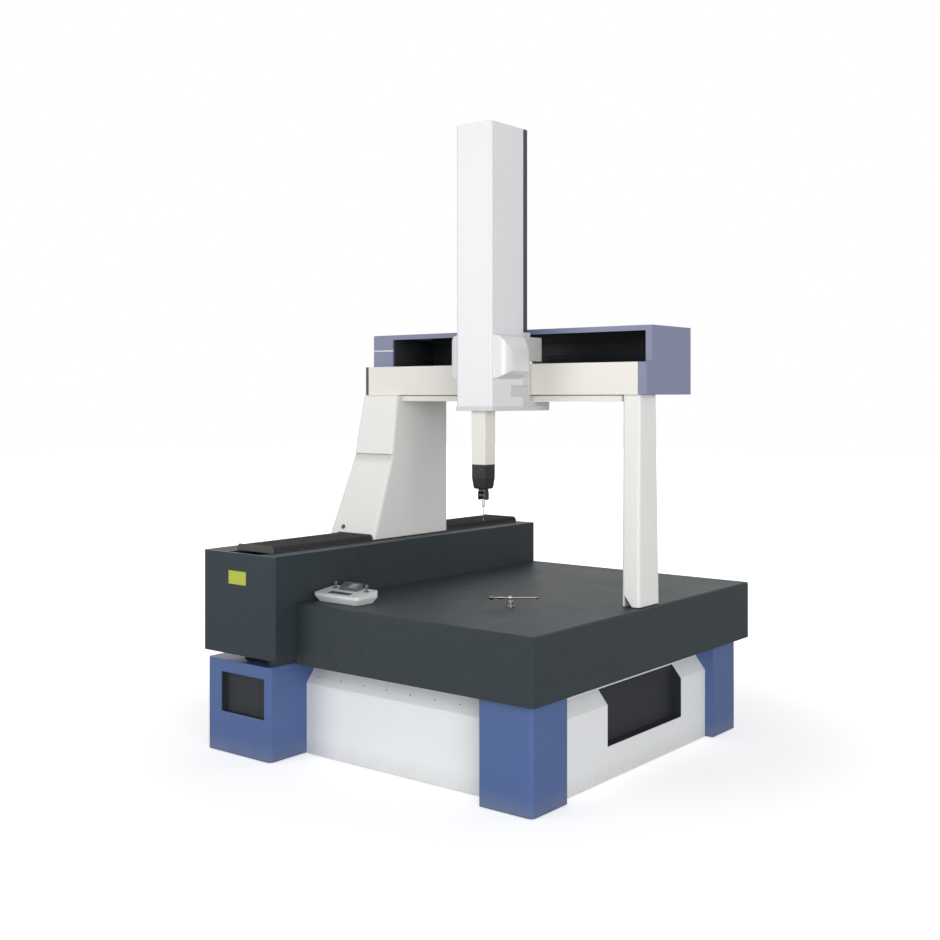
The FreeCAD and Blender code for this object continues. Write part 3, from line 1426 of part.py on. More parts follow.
save("x_drive_pulley", pulley(x_drive, False))
save("x_idler_pulley", pulley(x_idler, True))
save("x_scale", x_scale())
save("carriage_body", carriage_body())
save("z_cover", z_cover())
save("z_cover_back", z_cover_back())
save("bottom_plate", bottom_plate())
save("side_fairings", side_fairings())
save("carriage_air_bearings", carriage_air_bearings())
save("z_balance_cylinder", z_balance_cylinder())
save("ram", ram())
save("z_balance_rod", z_balance_rod())
save("probe_head", probe_head())
save("head_rotor", head_rotor())
save("probe_knuckle", probe_knuckle())
save("touch_probe", touch_probe())
save("stylus", stylus())
save("pendant_lower_shell", pendant_lower_shell())
save("pendant_upper_shell", pendant_upper_shell())
save("pendant_display", pendant_display())
save("pendant_keypad", pendant_keypad())
for side, x_stick in STICKS.items():
    save(side + "_gimbal", gimbal(x_stick))
    save(side + "_joystick", joystick(x_stick))
save("ball_stand", ball_stand())
save("ball_bar", ball_bar())
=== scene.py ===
"""Dresses the coordinate measuring machine: finishes for its parts, bellows, pendant, probe and trim."""
import json
import math

import bmesh
import bpy
from bpy.props import FloatProperty, FloatVectorProperty, IntProperty, PointerProperty
from bpy.types import Operator, Panel, PropertyGroup
from mathutils import Euler, Matrix, Vector


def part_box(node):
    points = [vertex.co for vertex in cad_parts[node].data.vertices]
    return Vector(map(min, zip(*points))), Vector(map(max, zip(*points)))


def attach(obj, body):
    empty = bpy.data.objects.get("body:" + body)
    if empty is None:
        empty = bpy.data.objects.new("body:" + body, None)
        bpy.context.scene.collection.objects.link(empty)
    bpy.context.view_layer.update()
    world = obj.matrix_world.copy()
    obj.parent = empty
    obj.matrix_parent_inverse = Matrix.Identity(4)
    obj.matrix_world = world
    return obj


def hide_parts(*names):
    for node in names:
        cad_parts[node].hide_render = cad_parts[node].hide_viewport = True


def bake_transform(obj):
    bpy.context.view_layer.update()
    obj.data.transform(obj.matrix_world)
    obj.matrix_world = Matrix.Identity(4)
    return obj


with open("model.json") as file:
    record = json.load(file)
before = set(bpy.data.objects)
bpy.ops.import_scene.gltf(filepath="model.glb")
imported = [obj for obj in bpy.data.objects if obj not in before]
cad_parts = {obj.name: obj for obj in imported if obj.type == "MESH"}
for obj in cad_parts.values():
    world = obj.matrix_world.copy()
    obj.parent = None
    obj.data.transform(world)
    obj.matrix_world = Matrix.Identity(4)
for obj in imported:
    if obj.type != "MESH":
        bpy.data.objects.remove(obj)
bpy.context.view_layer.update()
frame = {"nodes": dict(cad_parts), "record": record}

bl_info = {
    "name": "Measuring machine finishes",
    "version": (1, 0, 0),
    "blender": (4, 5, 0),
    "location": "3D View > Sidebar > Machine",
    "description": "Dresses a coordinate measuring machine and its hand pendant",
    "category": "Object",
}

FINISH_OF = {
    "pendant_lower_shell": "pendant_blue",
    # The leg's finish carries a painted shade band under its ledge.
    "left_leg": "grooved_leg",
    "table_inserts": "screw_black",
}
LEG_FOOT_HEIGHT = 0.400
LEG_FOOT_SLOPE = 0.134
# Height of the painted shade band under the leg's ledge.
LEG_SHADE_HEIGHT = 0.050
SLOT_OF = {part["node"]: part["material_slot"] for part in frame["record"]["subparts"]}


def linear(shade):
    """Scene value of a shade given from 0 to 255."""
    share = shade / 255
    return share / 12.92 if share <= 0.04045 else ((share + 0.055) / 1.055) ** 2.4


# Colour of real dust near the floor, also used for the painted light that makes upward faces paler.
DUST_AND_TOP_LIGHT = [linear(150), linear(148), linear(142), 1.0]


def tint(name, description, *shades):
    """Colour setting with its default given as red, green and blue from 0 to 255."""
    return FloatVectorProperty(name=name, description=description, subtype="COLOR", size=3, min=0, max=1,
                               default=[linear(shade) for shade in shades])


def length(name, description, default):
    """Length setting in metres."""
    return FloatProperty(name=name, description=description, unit="LENGTH", default=default, min=0)


# ---------------------------------------------------------------- settings
class MachineColours(PropertyGroup):
    """Colours of the machine's finishes, named after its material slots"""
    frame_paint: tint("Frame paint", "Welded base frame", 70, 73, 76)
    steel: tint("Steel", "Feet, inserts, rods and small screws", 196, 198, 200)
    isolator_rubber: tint("Isolator rubber", "Mounts between base and granite", 36, 36, 37)
    cover_white: tint("Panel white", "Base panels between the corner covers", 240, 242, 244)
    recess_black: tint("Recess black", "Recess trays and the lining behind the belt", 44, 47, 51)
    screw_black: tint("Screw black", "Blackened screws", 62, 63, 66)
    granite: tint("Granite", "Table and Y guide", 50, 58, 62)
    end_cover: tint("End cover", "Painted covers on the guide's ends", 48, 58, 64)
    plate_yellow: tint("Yellow plate", "Bare plate on the guide's front", 180, 190, 66)
    bellows_black: tint("Bellows", "Coated cloth over the guide's slot", 26, 26, 28)
    blue_paint: tint("Blue paint", "Corner covers of the base", 76, 101, 152)
    leg_white: tint("Leg white", "Leg and column", 236, 236, 233)
    bearing_steel: tint("Bearing steel", "Air bearings and pulleys", 176, 178, 182)
    ceramic_cream: tint("Ceramic", "Beam, rail and ram", 234, 231, 224)
    hood_blue: tint("Hood", "Cover over the beam's back", 126, 131, 160)
    belt_black: tint("Belt", "Toothed belt of the X drive", 30, 30, 31)
    motor_black: tint("Motor black", "Motor, end cap and bellows plates", 72, 72, 72)
    scale_steel: tint("Scale", "Measuring scale on the beam", 214, 206, 184)
    carriage_grey: tint("Carriage", "Carriage casting", 205, 207, 205)
    cover_gloss: tint("Cover white", "Z cover and side fairings", 228, 229, 231)
    back_navy: tint("Back cover", "Channel behind the Z cover", 30, 34, 50)
    plate_grey: tint("Bottom plate", "Plate under the carriage", 212, 213, 214)
    head_grey: tint("Probe head", "Indexing head's housing", 34, 36, 35)
    knuckle_black: tint("Knuckle", "Turning and tilting parts of the head", 28, 29, 30)
    probe_grey: tint("Probe", "Touch probe's body", 178, 180, 184)
    stylus_steel: tint("Stylus", "Stylus stem", 206, 208, 212)
    pendant_blue: tint("Pendant lid", "Shells of the hand pendant", 232, 233, 234)
    pendant_dark: tint("Pendant tray", "Lower shell and display housing", 92, 95, 98)
    key_grey: tint("Keys", "Keypad of the pendant", 66, 68, 70)
    stick_black: tint("Joysticks", "Joysticks and their domes", 96, 96, 98)
    ball_steel: tint("Ball stand", "Turned stand of the ball bar", 150, 150, 152)
    bar_dark: tint("Ball bar", "Bar and reference balls", 122, 114, 102)
    ruby: tint("Ruby", "Ball at the stylus's tip", 170, 20, 45)
    screen: tint("Screen", "Glass of the pendant's display", 112, 122, 116)
    lamp_green: tint("Status lamp", "Small lamp on the pendant", 60, 190, 90)


class MachineSizes(PropertyGroup):
    """Sizes of the pieces that are added to the machine"""
    pleat_pitch: length("Pleat pitch", "Length of one fold of the bellows", 0.015)
    pleat_depth: length("Pleat depth", "How far a valley lies under its ridges", 0.008)
    cloth: length("Bellows cloth", "Thickness of the coated cloth", 0.0012)
    screw: length("Cover screw", "Head radius of a cover screw", 0.0045)
    plug: length("Leg plug", "Radius of the dark plug in the leg's foot", 0.011)
    # Width of the pale strip that paints a highlight along the hood's seam.
    trim: length("Trim", "Width of the trim strips", 0.006)
    screw_sides: IntProperty(name="Screw sides", description="Sides of a round screw head", default=24, min=8)


class StudioSettings(PropertyGroup):
    """Light round the machine"""
    key_power: FloatProperty(name="Key light", description="Power of the large soft light", unit="POWER",
                             default=410, min=0)
    fill_power: FloatProperty(name="Fill light", description="Power of the light on the other side",
                              unit="POWER", default=620, min=0)
    ambient: FloatProperty(name="Ambient", description="Brightness of the room", default=0.38, min=0)
    floor_glow: FloatProperty(name="Floor glow", description="White that the camera sees on the floor",
                              default=0.52, min=0)
    floor: tint("Floor", "Colour of the floor", 238, 238, 238)


def colours():
    return bpy.context.scene.machine_colours


def sizes():
    return bpy.context.scene.machine_sizes


# ---------------------------------------------------------------- shader helpers
def place(tree, kind, **values):
    """Add a shader node; values are its settings or its unlinked inputs."""
    node = tree.nodes.new("ShaderNode" + kind)
    for name, value in values.items():
        if hasattr(node, name):
            setattr(node, name, value)
        else:
            node.inputs[name.replace("_", " ")].default_value = value
    return node


def join(tree, source, output, target, socket):
    tree.links.new(source.outputs[output], target.inputs[socket])


def effect(name, inputs, outputs):
    """Empty shader node group with named number inputs and outputs, and its two end nodes."""
    tree = bpy.data.node_groups.new(name, "ShaderNodeTree")
    for socket, value in inputs.items():
        made = tree.interface.new_socket(name=socket, in_out="INPUT", socket_type="NodeSocketFloat")
        made.default_value = value
    for socket, kind in outputs.items():
        tree.interface.new_socket(name=socket, in_out="OUTPUT", socket_type="NodeSocket" + kind)
    return tree, tree.nodes.new("NodeGroupInput"), tree.nodes.new("NodeGroupOutput")


def scaled_noise(tree, ends, scale, detail=3.0, roughness=0.55):
    """Noise on Object coordinates whose scale comes from the group's named input."""
    where = place(tree, "TexCoord")
    noise = place(tree, "TexNoise", Detail=detail, Roughness=roughness)
    join(tree, where, "Object", noise, "Vector")
    join(tree, ends, scale, noise, "Scale")
    return noise


def make_grain():
    """Fine orange-peel height, and a soft patch value for slow changes of tone."""
    tree, start, end = effect("Paint grain", {"Grain": 900.0, "Patch": 3.0},
                              {"Height": "Float", "Tone": "Float"})
    fine = scaled_noise(tree, start, "Grain", 2.0)
    slow = scaled_noise(tree, start, "Patch", 4.0)
    join(tree, fine, "Fac", end, "Height")
    join(tree, slow, "Fac", end, "Tone")
    return tree


def make_edges():
    """Rounded normal near edges, and a mask of the edges themselves."""
    tree, start, end = effect("Worn edges", {"Radius": 0.0015, "Strength": 1.0},
                              {"Mask": "Float", "Normal": "Vector"})
    bevel = place(tree, "Bevel", samples=6)
    join(tree, start, "Radius", bevel, "Radius")
    plain = place(tree, "NewGeometry")
    along = place(tree, "VectorMath", operation="DOT_PRODUCT")
    join(tree, bevel, "Normal", along, 0)
    join(tree, plain, "Normal", along, 1)
    turn = place(tree, "Math", operation="SUBTRACT")
    turn.inputs[0].default_value = 1.0
    join(tree, along, "Value", turn, 1)
    chips = place(tree, "TexNoise", Scale=120.0, Detail=4.0)
    where = place(tree, "TexCoord")
    join(tree, where, "Object", chips, "Vector")
    broken = place(tree, "Math", operation="MULTIPLY")
    join(tree, turn, "Value", broken, 0)
    join(tree, chips, "Fac", broken, 1)
    mask = place(tree, "Math", operation="MULTIPLY", use_clamp=True)
    join(tree, broken, "Value", mask, 0)
    join(tree, start, "Strength", mask, 1)
    join(tree, mask, "Value", end, "Mask")
    join(tree, bevel, "Normal", end, "Normal")
    return tree


def make_dust():
    """Mask of dust: strongest at the floor, fading with height, in patches."""
    tree, start, end = effect("Floor dust", {"Reach": 0.10, "Amount": 1.0}, {"Mask": "Float"})
    where = place(tree, "TexCoord")
    axes = place(tree, "SeparateXYZ")
    join(tree, where, "Object", axes, "Vector")
    low = place(tree, "MapRange", interpolation_type="SMOOTHSTEP")
    join(tree, axes, "Z", low, "Value")
    join(tree, start, "Reach", low, "From Max")
    low.inputs["To Min"].default_value = 1.0
    low.inputs["To Max"].default_value = 0.0
    cloud = place(tree, "TexNoise", Scale=14.0, Detail=5.0, Roughness=0.65)
    join(tree, where, "Object", cloud, "Vector")
    patchy = place(tree, "Math", operation="MULTIPLY")
    join(tree, low, "Result", patchy, 0)
    join(tree, cloud, "Fac", patchy, 1)
    mask = place(tree, "Math", operation="MULTIPLY", use_clamp=True)
    join(tree, patchy, "Value", mask, 0)
    join(tree, start, "Amount", mask, 1)
    join(tree, mask, "Value", end, "Mask")
    return tree


def make_top_light():
    """Mask of painted light on faces that look up: it makes them paler in patches, in the colour of dust."""
    tree, start, end = effect("Top dust", {"Amount": 1.0}, {"Mask": "Float"})
    shape = place(tree, "NewGeometry")
    axes = place(tree, "SeparateXYZ")
    join(tree, shape, "Normal", axes, "Vector")
    level = place(tree, "MapRange", From_Min=0.8)
    join(tree, axes, "Z", level, "Value")
    where = place(tree, "TexCoord")
    cloud = place(tree, "TexNoise", Scale=7.0, Detail=4.0)
    join(tree, where, "Object", cloud, "Vector")
    spread = place(tree, "MapRange", To_Min=0.55)
    join(tree, cloud, "Fac", spread, "Value")
    patchy = place(tree, "Math", operation="MULTIPLY")
    join(tree, level, "Result", patchy, 0)
    join(tree, spread, "Result", patchy, 1)
    mask = place(tree, "Math", operation="MULTIPLY", use_clamp=True)
    join(tree, patchy, "Value", mask, 0)
    join(tree, start, "Amount", mask, 1)
    join(tree, mask, "Value", end, "Mask")
    return tree


def make_strokes():
    """Long fine strokes of ground or brushed metal, along an axis squeezed by the mapping."""
    settings = {"Across": 900.0, "Along X": 1.0, "Along Y": 1.0, "Along Z": 0.03}
    tree, start, end = effect("Brush strokes", settings, {"Height": "Float"})
    where = place(tree, "TexCoord")
    squeeze = place(tree, "CombineXYZ")
    for axis in "XYZ":
        join(tree, start, "Along " + axis, squeeze, axis)
    stretched = place(tree, "VectorMath", operation="MULTIPLY")
    join(tree, where, "Object", stretched, 0)
    join(tree, squeeze, "Vector", stretched, 1)
    noise = place(tree, "TexNoise", Detail=2.0)
    join(tree, stretched, "Vector", noise, "Vector")
    join(tree, start, "Across", noise, "Scale")
    join(tree, noise, "Fac", end, "Height")
    return tree


def make_speckle():
    """Crystals of fine granite: a share of light specks, a share of dark ones and a cloudy tone."""
    masks = {"Light": "Float", "Dark": "Float", "Cloud": "Float"}
    tree, start, end = effect("Granite crystals", {"Crystals": 420.0}, masks)
    where = place(tree, "TexCoord")
    cells = place(tree, "TexVoronoi", feature="F1")
    join(tree, where, "Object", cells, "Vector")
    join(tree, start, "Crystals", cells, "Scale")
    hue = place(tree, "SeparateColor")
    join(tree, cells, "Color", hue, "Color")
    for output, channel, edge in (("Light", "Red", 0.80), ("Dark", "Green", 0.72)):
        share = place(tree, "MapRange", interpolation_type="SMOOTHSTEP", From_Min=edge, From_Max=1.0)
        join(tree, hue, channel, share, "Value")
        join(tree, share, "Result", end, output)
    cloud = place(tree, "TexNoise", Scale=5.0, Detail=6.0, Roughness=0.6)
    join(tree, where, "Object", cloud, "Vector")
    join(tree, cloud, "Fac", end, "Cloud")
    return tree


def make_weave():
    """Plain weave of coated cloth, as a height."""
    tree, start, end = effect("Coated weave", {"Threads": 900.0}, {"Height": "Float"})
    where = place(tree, "TexCoord")
    parts = []
    for direction in ("X", "Y"):
        wave = place(tree, "TexWave", bands_direction=direction, Distortion=0.4, Detail=1.0)
        join(tree, where, "Object", wave, "Vector")
        join(tree, start, "Threads", wave, "Scale")
        parts.append(wave)
    both = place(tree, "Math", operation="MULTIPLY")
    join(tree, parts[0], "Fac", both, 0)
    join(tree, parts[1], "Fac", both, 1)
    join(tree, both, "Value", end, "Height")
    return tree


EFFECTS = [make_grain, make_edges, make_dust, make_top_light, make_strokes, make_speckle, make_weave]


def use(tree, name, **values):
    """Place a shared effect in a material with its own values."""
    node = tree.nodes.new("ShaderNodeGroup")
    node.node_tree = bpy.data.node_groups[name]
    for socket, value in values.items():
        node.inputs[socket.replace("_", " ")].default_value = value
    return node


def blank(slot):
    """New material for a slot, with its shader and colour."""
    material = bpy.data.materials.new(slot)
    material.use_nodes = True
    tree = material.node_tree
    shader = tree.nodes["Principled BSDF"]
    colour = [*getattr(colours(), slot), 1.0]
    return material, tree, shader, colour


def shade_of(colour, factor):
    return [min(1.0, channel * factor) for channel in colour[:3]] + [1.0]


def mix_colour(tree, mask, output, below, above):
    """Colour that goes from below to above by a mask; below may be a node that puts out a colour."""
    mix = place(tree, "Mix", data_type="RGBA")
    join(tree, mask, output, mix, 0)
    if isinstance(below, bpy.types.Node):
        tree.links.new(below.outputs[2], mix.inputs[6])
    else:
        mix.inputs[6].default_value = below
    mix.inputs[7].default_value = above
    return mix


def vary_roughness(tree, mask, output, shader, low, high):
    span = place(tree, "MapRange", To_Min=low, To_Max=high)
    join(tree, mask, output, span, "Value")
    join(tree, span, "Result", shader, "Roughness")


def bump(tree, height, output, shader, depth, edges=None):
    """Height in metres onto the shader's normal, over the rounded edges where there are any."""
    relief = place(tree, "Bump", Distance=depth, Strength=1.0)
    join(tree, height, output, relief, "Height")
    if edges:
        join(tree, edges, "Normal", relief, "Normal")
    join(tree, relief, "Normal", shader, "Normal")


# ---------------------------------------------------------------- finishes
def painted_ledge_shade(tree, low, high):
    """Mask of painted shade under the leg's ledge, on the front face alone: darkest just under the ledge and
    fading downwards.
    """
    where = place(tree, "TexCoord")
    axes = place(tree, "SeparateXYZ")
    join(tree, where, "Object", axes, "Vector")
    ledge_shade = place(tree, "MapRange", interpolation_type="SMOOTHSTEP", From_Min=low, From_Max=high)
    join(tree, axes, "Z", ledge_shade, "Value")
    under = place(tree, "Math", operation="LESS_THAN")
    join(tree, axes, "Z", under, 0)
    under.inputs[1].default_value = high
    shape = place(tree, "NewGeometry")
    way = place(tree, "SeparateXYZ")
    join(tree, shape, "True Normal", way, "Vector")
    front = place(tree, "Math", operation="LESS_THAN")
    join(tree, way, "Y", front, 0)
    front.inputs[1].default_value = -0.5
    band = place(tree, "Math", operation="MULTIPLY")
    join(tree, ledge_shade, "Result", band, 0)
    join(tree, under, "Value", band, 1)
    facing_band = place(tree, "Math", operation="MULTIPLY")
    join(tree, band, "Value", facing_band, 0)
    join(tree, front, "Value", facing_band, 1)
    return facing_band


def painted(slot, roughness=0.42, depth=0.00005, grain=900.0, tone=0.05, wear=0.6, dust=0.0, coat=0.0,
            specular=0.5, radius=0.0016, top_light=0.0, groove=None):
    """Powder coat: orange peel, slow changes of tone, paler edges and dust near the floor; where asked,
    painted light that makes upward faces paler, and a painted shade band under the leg's ledge.
    """
    material, tree, shader, colour = blank(slot)
    peel = use(tree, "Paint grain", Grain=grain, Patch=2.5)
    edges = use(tree, "Worn edges", Radius=radius, Strength=wear)
    mix = mix_colour(tree, peel, "Tone", shade_of(colour, 1 - tone), shade_of(colour, 1 + tone))
    mix = mix_colour(tree, edges, "Mask", mix, shade_of(colour, 1.5))
    # Floor dust is real dust; the top light is painted light that makes upward faces paler.
    for effect_name, amount in (("Floor dust", dust), ("Top dust", top_light)):
        if amount:
            dust_and_light_mask = use(tree, effect_name, Amount=amount)
            mix = mix_colour(tree, dust_and_light_mask, "Mask", mix, DUST_AND_TOP_LIGHT)
    # Painted shade: the leg's front face darkens just under its ledge, fading downwards.
    if groove:
        mix = mix_colour(tree, painted_ledge_shade(tree, *groove), "Value", mix, shade_of(colour, 0.76))
    tree.links.new(mix.outputs[2], shader.inputs["Base Color"])
    vary_roughness(tree, peel, "Tone", shader, roughness - 0.06, roughness + 0.06)
    shader.inputs["Specular IOR Level"].default_value = specular
    shader.inputs["Coat Weight"].default_value = coat
    shader.inputs["Coat Roughness"].default_value = 0.12
    bump(tree, peel, "Height", shader, depth, edges)
    return material


def stone(slot, roughness=0.5, depth=0.00002, specular=0.22):
    """Ground granite: fine light and dark crystals under a satin surface."""
    material, tree, shader, colour = blank(slot)
    crystals = use(tree, "Granite crystals", Crystals=420.0)
    edges = use(tree, "Worn edges", Radius=0.002, Strength=0.5)
    mix = mix_colour(tree, crystals, "Cloud", shade_of(colour, 0.86), shade_of(colour, 1.12))
    mix = mix_colour(tree, crystals, "Light", mix, shade_of(colour, 1.6))
    mix = mix_colour(tree, crystals, "Dark", mix, shade_of(colour, 0.75))
    mix = mix_colour(tree, edges, "Mask", mix, shade_of(colour, 2.0))
    tree.links.new(mix.outputs[2], shader.inputs["Base Color"])
    vary_roughness(tree, crystals, "Cloud", shader, roughness - 0.08, roughness + 0.08)
    shader.inputs["Specular IOR Level"].default_value = specular
    bump(tree, crystals, "Light", shader, depth, edges)
    return material


def ceramic(slot):
    """Ground ceramic: warm white with faint darker clouds and a soft sheen."""
    material, tree, shader, colour = blank(slot)
    peel = use(tree, "Paint grain", Grain=1500.0, Patch=6.0)
    strokes = use(tree, "Brush strokes", Across=500.0, Along_X=0.02, Along_Y=1.0, Along_Z=1.0)
    edges = use(tree, "Worn edges", Radius=0.0015, Strength=0.3)
    mix = mix_colour(tree, peel, "Tone", shade_of(colour, 0.95), shade_of(colour, 1.03))
    mix = mix_colour(tree, edges, "Mask", mix, shade_of(colour, 1.1))
    tree.links.new(mix.outputs[2], shader.inputs["Base Color"])
    vary_roughness(tree, strokes, "Height", shader, 0.30, 0.44)
    bump(tree, strokes, "Height", shader, 0.00001, edges)
    return material


def metal(slot, roughness=0.32, along="Z", depth=0.00001, across=900.0, metallic=1.0):
    """Ground, turned or brushed metal with strokes along one axis."""
    material, tree, shader, colour = blank(slot)
    pull = {"Along " + axis: 0.03 if axis == along else 1.0 for axis in "XYZ"}
    strokes = use(tree, "Brush strokes", Across=across, **pull)
    edges = use(tree, "Worn edges", Radius=0.0006, Strength=0.8)
    mix = mix_colour(tree, strokes, "Height", shade_of(colour, 0.86), shade_of(colour, 1.1))
    mix = mix_colour(tree, edges, "Mask", mix, shade_of(colour, 1.3))
    tree.links.new(mix.outputs[2], shader.inputs["Base Color"])
    vary_roughness(tree, strokes, "Height", shader, roughness - 0.08, roughness + 0.10)
    shader.inputs["Metallic"].default_value = metallic
    bump(tree, strokes, "Height", shader, depth, edges)
    return material


def plastic(slot, roughness=0.5, depth=0.00004, grain=2200.0, tone=0.06, radius=0.0008, specular=0.5):
    """Moulded plastic with a fine spark texture."""
    material, tree, shader, colour = blank(slot)
    peel = use(tree, "Paint grain", Grain=grain, Patch=12.0)
    edges = use(tree, "Worn edges", Radius=radius, Strength=0.5)
    mix = mix_colour(tree, peel, "Tone", shade_of(colour, 1 - tone), shade_of(colour, 1 + tone))
    mix = mix_colour(tree, edges, "Mask", mix, shade_of(colour, 1.6))
    tree.links.new(mix.outputs[2], shader.inputs["Base Color"])
    vary_roughness(tree, peel, "Height", shader, roughness - 0.07, roughness + 0.07)
    shader.inputs["Specular IOR Level"].default_value = specular
    bump(tree, peel, "Height", shader, depth, edges)
    return material


def coated_cloth(slot):
    """Black coated cloth with its weave showing through and paler, rubbed folds."""
    material, tree, shader, colour = blank(slot)
    weave = use(tree, "Coated weave", Threads=700.0)
    peel = use(tree, "Paint grain", Grain=300.0, Patch=9.0)
    edges = use(tree, "Worn edges", Radius=0.0012, Strength=1.2)
    mix = mix_colour(tree, peel, "Tone", shade_of(colour, 0.7), shade_of(colour, 1.5))
    mix = mix_colour(tree, edges, "Mask", mix, shade_of(colour, 4.0))
    tree.links.new(mix.outputs[2], shader.inputs["Base Color"])
    vary_roughness(tree, weave, "Height", shader, 0.55, 0.8)
    shader.inputs["Sheen Weight"].default_value = 0.15
    shader.inputs["Specular IOR Level"].default_value = 0.3
    bump(tree, weave, "Height", shader, 0.00012, edges)
    return material


def graduated(slot):
    """Steel scale with fine dark graduations across it."""
    material, tree, shader, colour = blank(slot)
    where = place(tree, "TexCoord")
    lines = place(tree, "TexWave", wave_type="BANDS", bands_direction="X", Scale=80.0)
    join(tree, where, "Object", lines, "Vector")
    cut = place(tree, "MapRange", From_Min=0.86, From_Max=0.95)
    join(tree, lines, "Fac", cut, "Value")
    mix = mix_colour(tree, cut, "Result", colour, shade_of(colour, 0.2))
    tree.links.new(mix.outputs[2], shader.inputs["Base Color"])
    strokes = use(tree, "Brush strokes", Across=900.0, Along_X=0.02, Along_Z=1.0)
    vary_roughness(tree, strokes, "Height", shader, 0.22, 0.38)
    shader.inputs["Metallic"].default_value = 1.0
    bump(tree, strokes, "Height", shader, 0.000005)
    return material


def gem(slot):
    """Polished ruby with a faintly cloudy depth."""
    material, tree, shader, colour = blank(slot)
    peel = use(tree, "Paint grain", Grain=2500.0, Patch=300.0)
    mix = mix_colour(tree, peel, "Tone", shade_of(colour, 0.7), shade_of(colour, 1.3))
    tree.links.new(mix.outputs[2], shader.inputs["Base Color"])
    vary_roughness(tree, peel, "Height", shader, 0.04, 0.09)
    shader.inputs["IOR"].default_value = 1.76
    shader.inputs["Coat Weight"].default_value = 0.4
    return material


def display_glass(slot):
    """Unlit display under glass: a faint grid of cells behind a smooth surface."""
    material, tree, shader, colour = blank(slot)
    where = place(tree, "TexCoord")
    cells = place(tree, "TexBrick", Scale=420.0, Mortar_Size=0.05)
    cells.inputs["Color1"].default_value = colour
    cells.inputs["Color2"].default_value = shade_of(colour, 1.08)
    cells.inputs["Mortar"].default_value = shade_of(colour, 0.8)
    join(tree, where, "Object", cells, "Vector")
    tree.links.new(cells.outputs["Color"], shader.inputs["Base Color"])
    peel = use(tree, "Paint grain", Grain=600.0, Patch=40.0)
    vary_roughness(tree, peel, "Tone", shader, 0.08, 0.16)
    shader.inputs["Coat Weight"].default_value = 0.6
    return material


def lamp(slot):
    """Small lamp lens, glowing a little."""
    material, tree, shader, colour = blank(slot)
    peel = use(tree, "Paint grain", Grain=4000.0, Patch=500.0)
    mix = mix_colour(tree, peel, "Tone", shade_of(colour, 0.8), shade_of(colour, 1.2))
    tree.links.new(mix.outputs[2], shader.inputs["Base Color"])
    tree.links.new(mix.outputs[2], shader.inputs["Emission Color"])
    shader.inputs["Emission Strength"].default_value = 0.6
    vary_roughness(tree, peel, "Height", shader, 0.15, 0.3)
    return material


def ledge_shade_levels():
    """Lowest and highest level of the painted shade band in the shallow groove under the leg's ledge."""
    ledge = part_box("left_leg")[0].z + LEG_FOOT_HEIGHT
    return ledge - LEG_SHADE_HEIGHT, ledge + 0.001


FINISHES = {
    "frame_paint": lambda slot: painted(slot, 0.55, wear=1.0, dust=0.5),
    "steel": lambda slot: metal(slot, 0.34, "X"),
    "isolator_rubber": lambda slot: plastic(slot, 0.72, depth=0.00008, grain=700.0, specular=0.3),
    "cover_white": lambda slot: painted(slot, 0.46, tone=0.025, wear=0.25, dust=0.35),
    "recess_black": lambda slot: plastic(slot, 0.62, grain=900.0, specular=0.3),
    "screw_black": lambda slot: metal(slot, 0.42, "X", metallic=0.8),
    "granite": stone,
    # The end cover's top is made paler by painted light on upward faces.
    "end_cover": lambda slot: painted(slot, 0.40, tone=0.08, wear=0.35, top_light=0.55, specular=0.22,
                                      radius=0.008),
    "plate_yellow": lambda slot: plastic(slot, 0.38, depth=0.00001, grain=1500.0, radius=0.0004, tone=0.05),
    "bellows_black": coated_cloth,
    "blue_paint": lambda slot: painted(slot, 0.36, depth=0.00006, tone=0.05, wear=0.45, dust=0.45,
                                       radius=0.009),
    "leg_white": lambda slot: painted(slot, 0.45, tone=0.02, wear=0.2, radius=0.006),
    # The leg's finish with a painted shade band under its ledge.
    "grooved_leg": lambda slot: painted("leg_white", 0.45, tone=0.02, wear=0.2, radius=0.006,
                                        groove=ledge_shade_levels()),
    "bearing_steel": lambda slot: metal(slot, 0.36, "Y"),
    "ceramic_cream": ceramic,
    "hood_blue": lambda slot: painted(slot, 0.44, tone=0.04, wear=0.5),
    "belt_black": lambda slot: plastic(slot, 0.7, grain=600.0, specular=0.3),
    "motor_black": lambda slot: plastic(slot, 0.55, grain=1200.0),
    "scale_steel": graduated,
    "carriage_grey": lambda slot: painted(slot, 0.46, tone=0.03, wear=0.4),
    "cover_gloss": lambda slot: painted(slot, 0.32, depth=0.00003, tone=0.015, wear=0.2, coat=0.15),
    "back_navy": lambda slot: painted(slot, 0.38, tone=0.06, wear=0.5, coat=0.1),
    "plate_grey": lambda slot: painted(slot, 0.46, tone=0.03, wear=0.3),
    "head_grey": lambda slot: painted(slot, 0.44, depth=0.00002, grain=2500.0, tone=0.06, specular=0.3,
                                      radius=0.0008),
    "knuckle_black": lambda slot: painted(slot, 0.36, depth=0.00001, grain=3000.0, tone=0.06, radius=0.0006),
    "probe_grey": lambda slot: metal(slot, 0.30, "X", across=1500.0),
    "stylus_steel": lambda slot: metal(slot, 0.18, "Z", across=2500.0),
    "pendant_blue": lambda slot: plastic(slot, 0.34, depth=0.00002, tone=0.03, radius=0.0012),
    "pendant_dark": lambda slot: plastic(slot, 0.50, tone=0.06),
    "key_grey": lambda slot: plastic(slot, 0.60, grain=3000.0, tone=0.08),
    "stick_black": lambda slot: plastic(slot, 0.42, grain=3000.0),
    "ball_steel": lambda slot: metal(slot, 0.24, "X", across=1600.0),
    "bar_dark": lambda slot: metal(slot, 0.14, "X", across=1600.0, depth=0.000004),
    "ruby": gem,
    "screen": display_glass,
    "lamp_green": lamp,
}


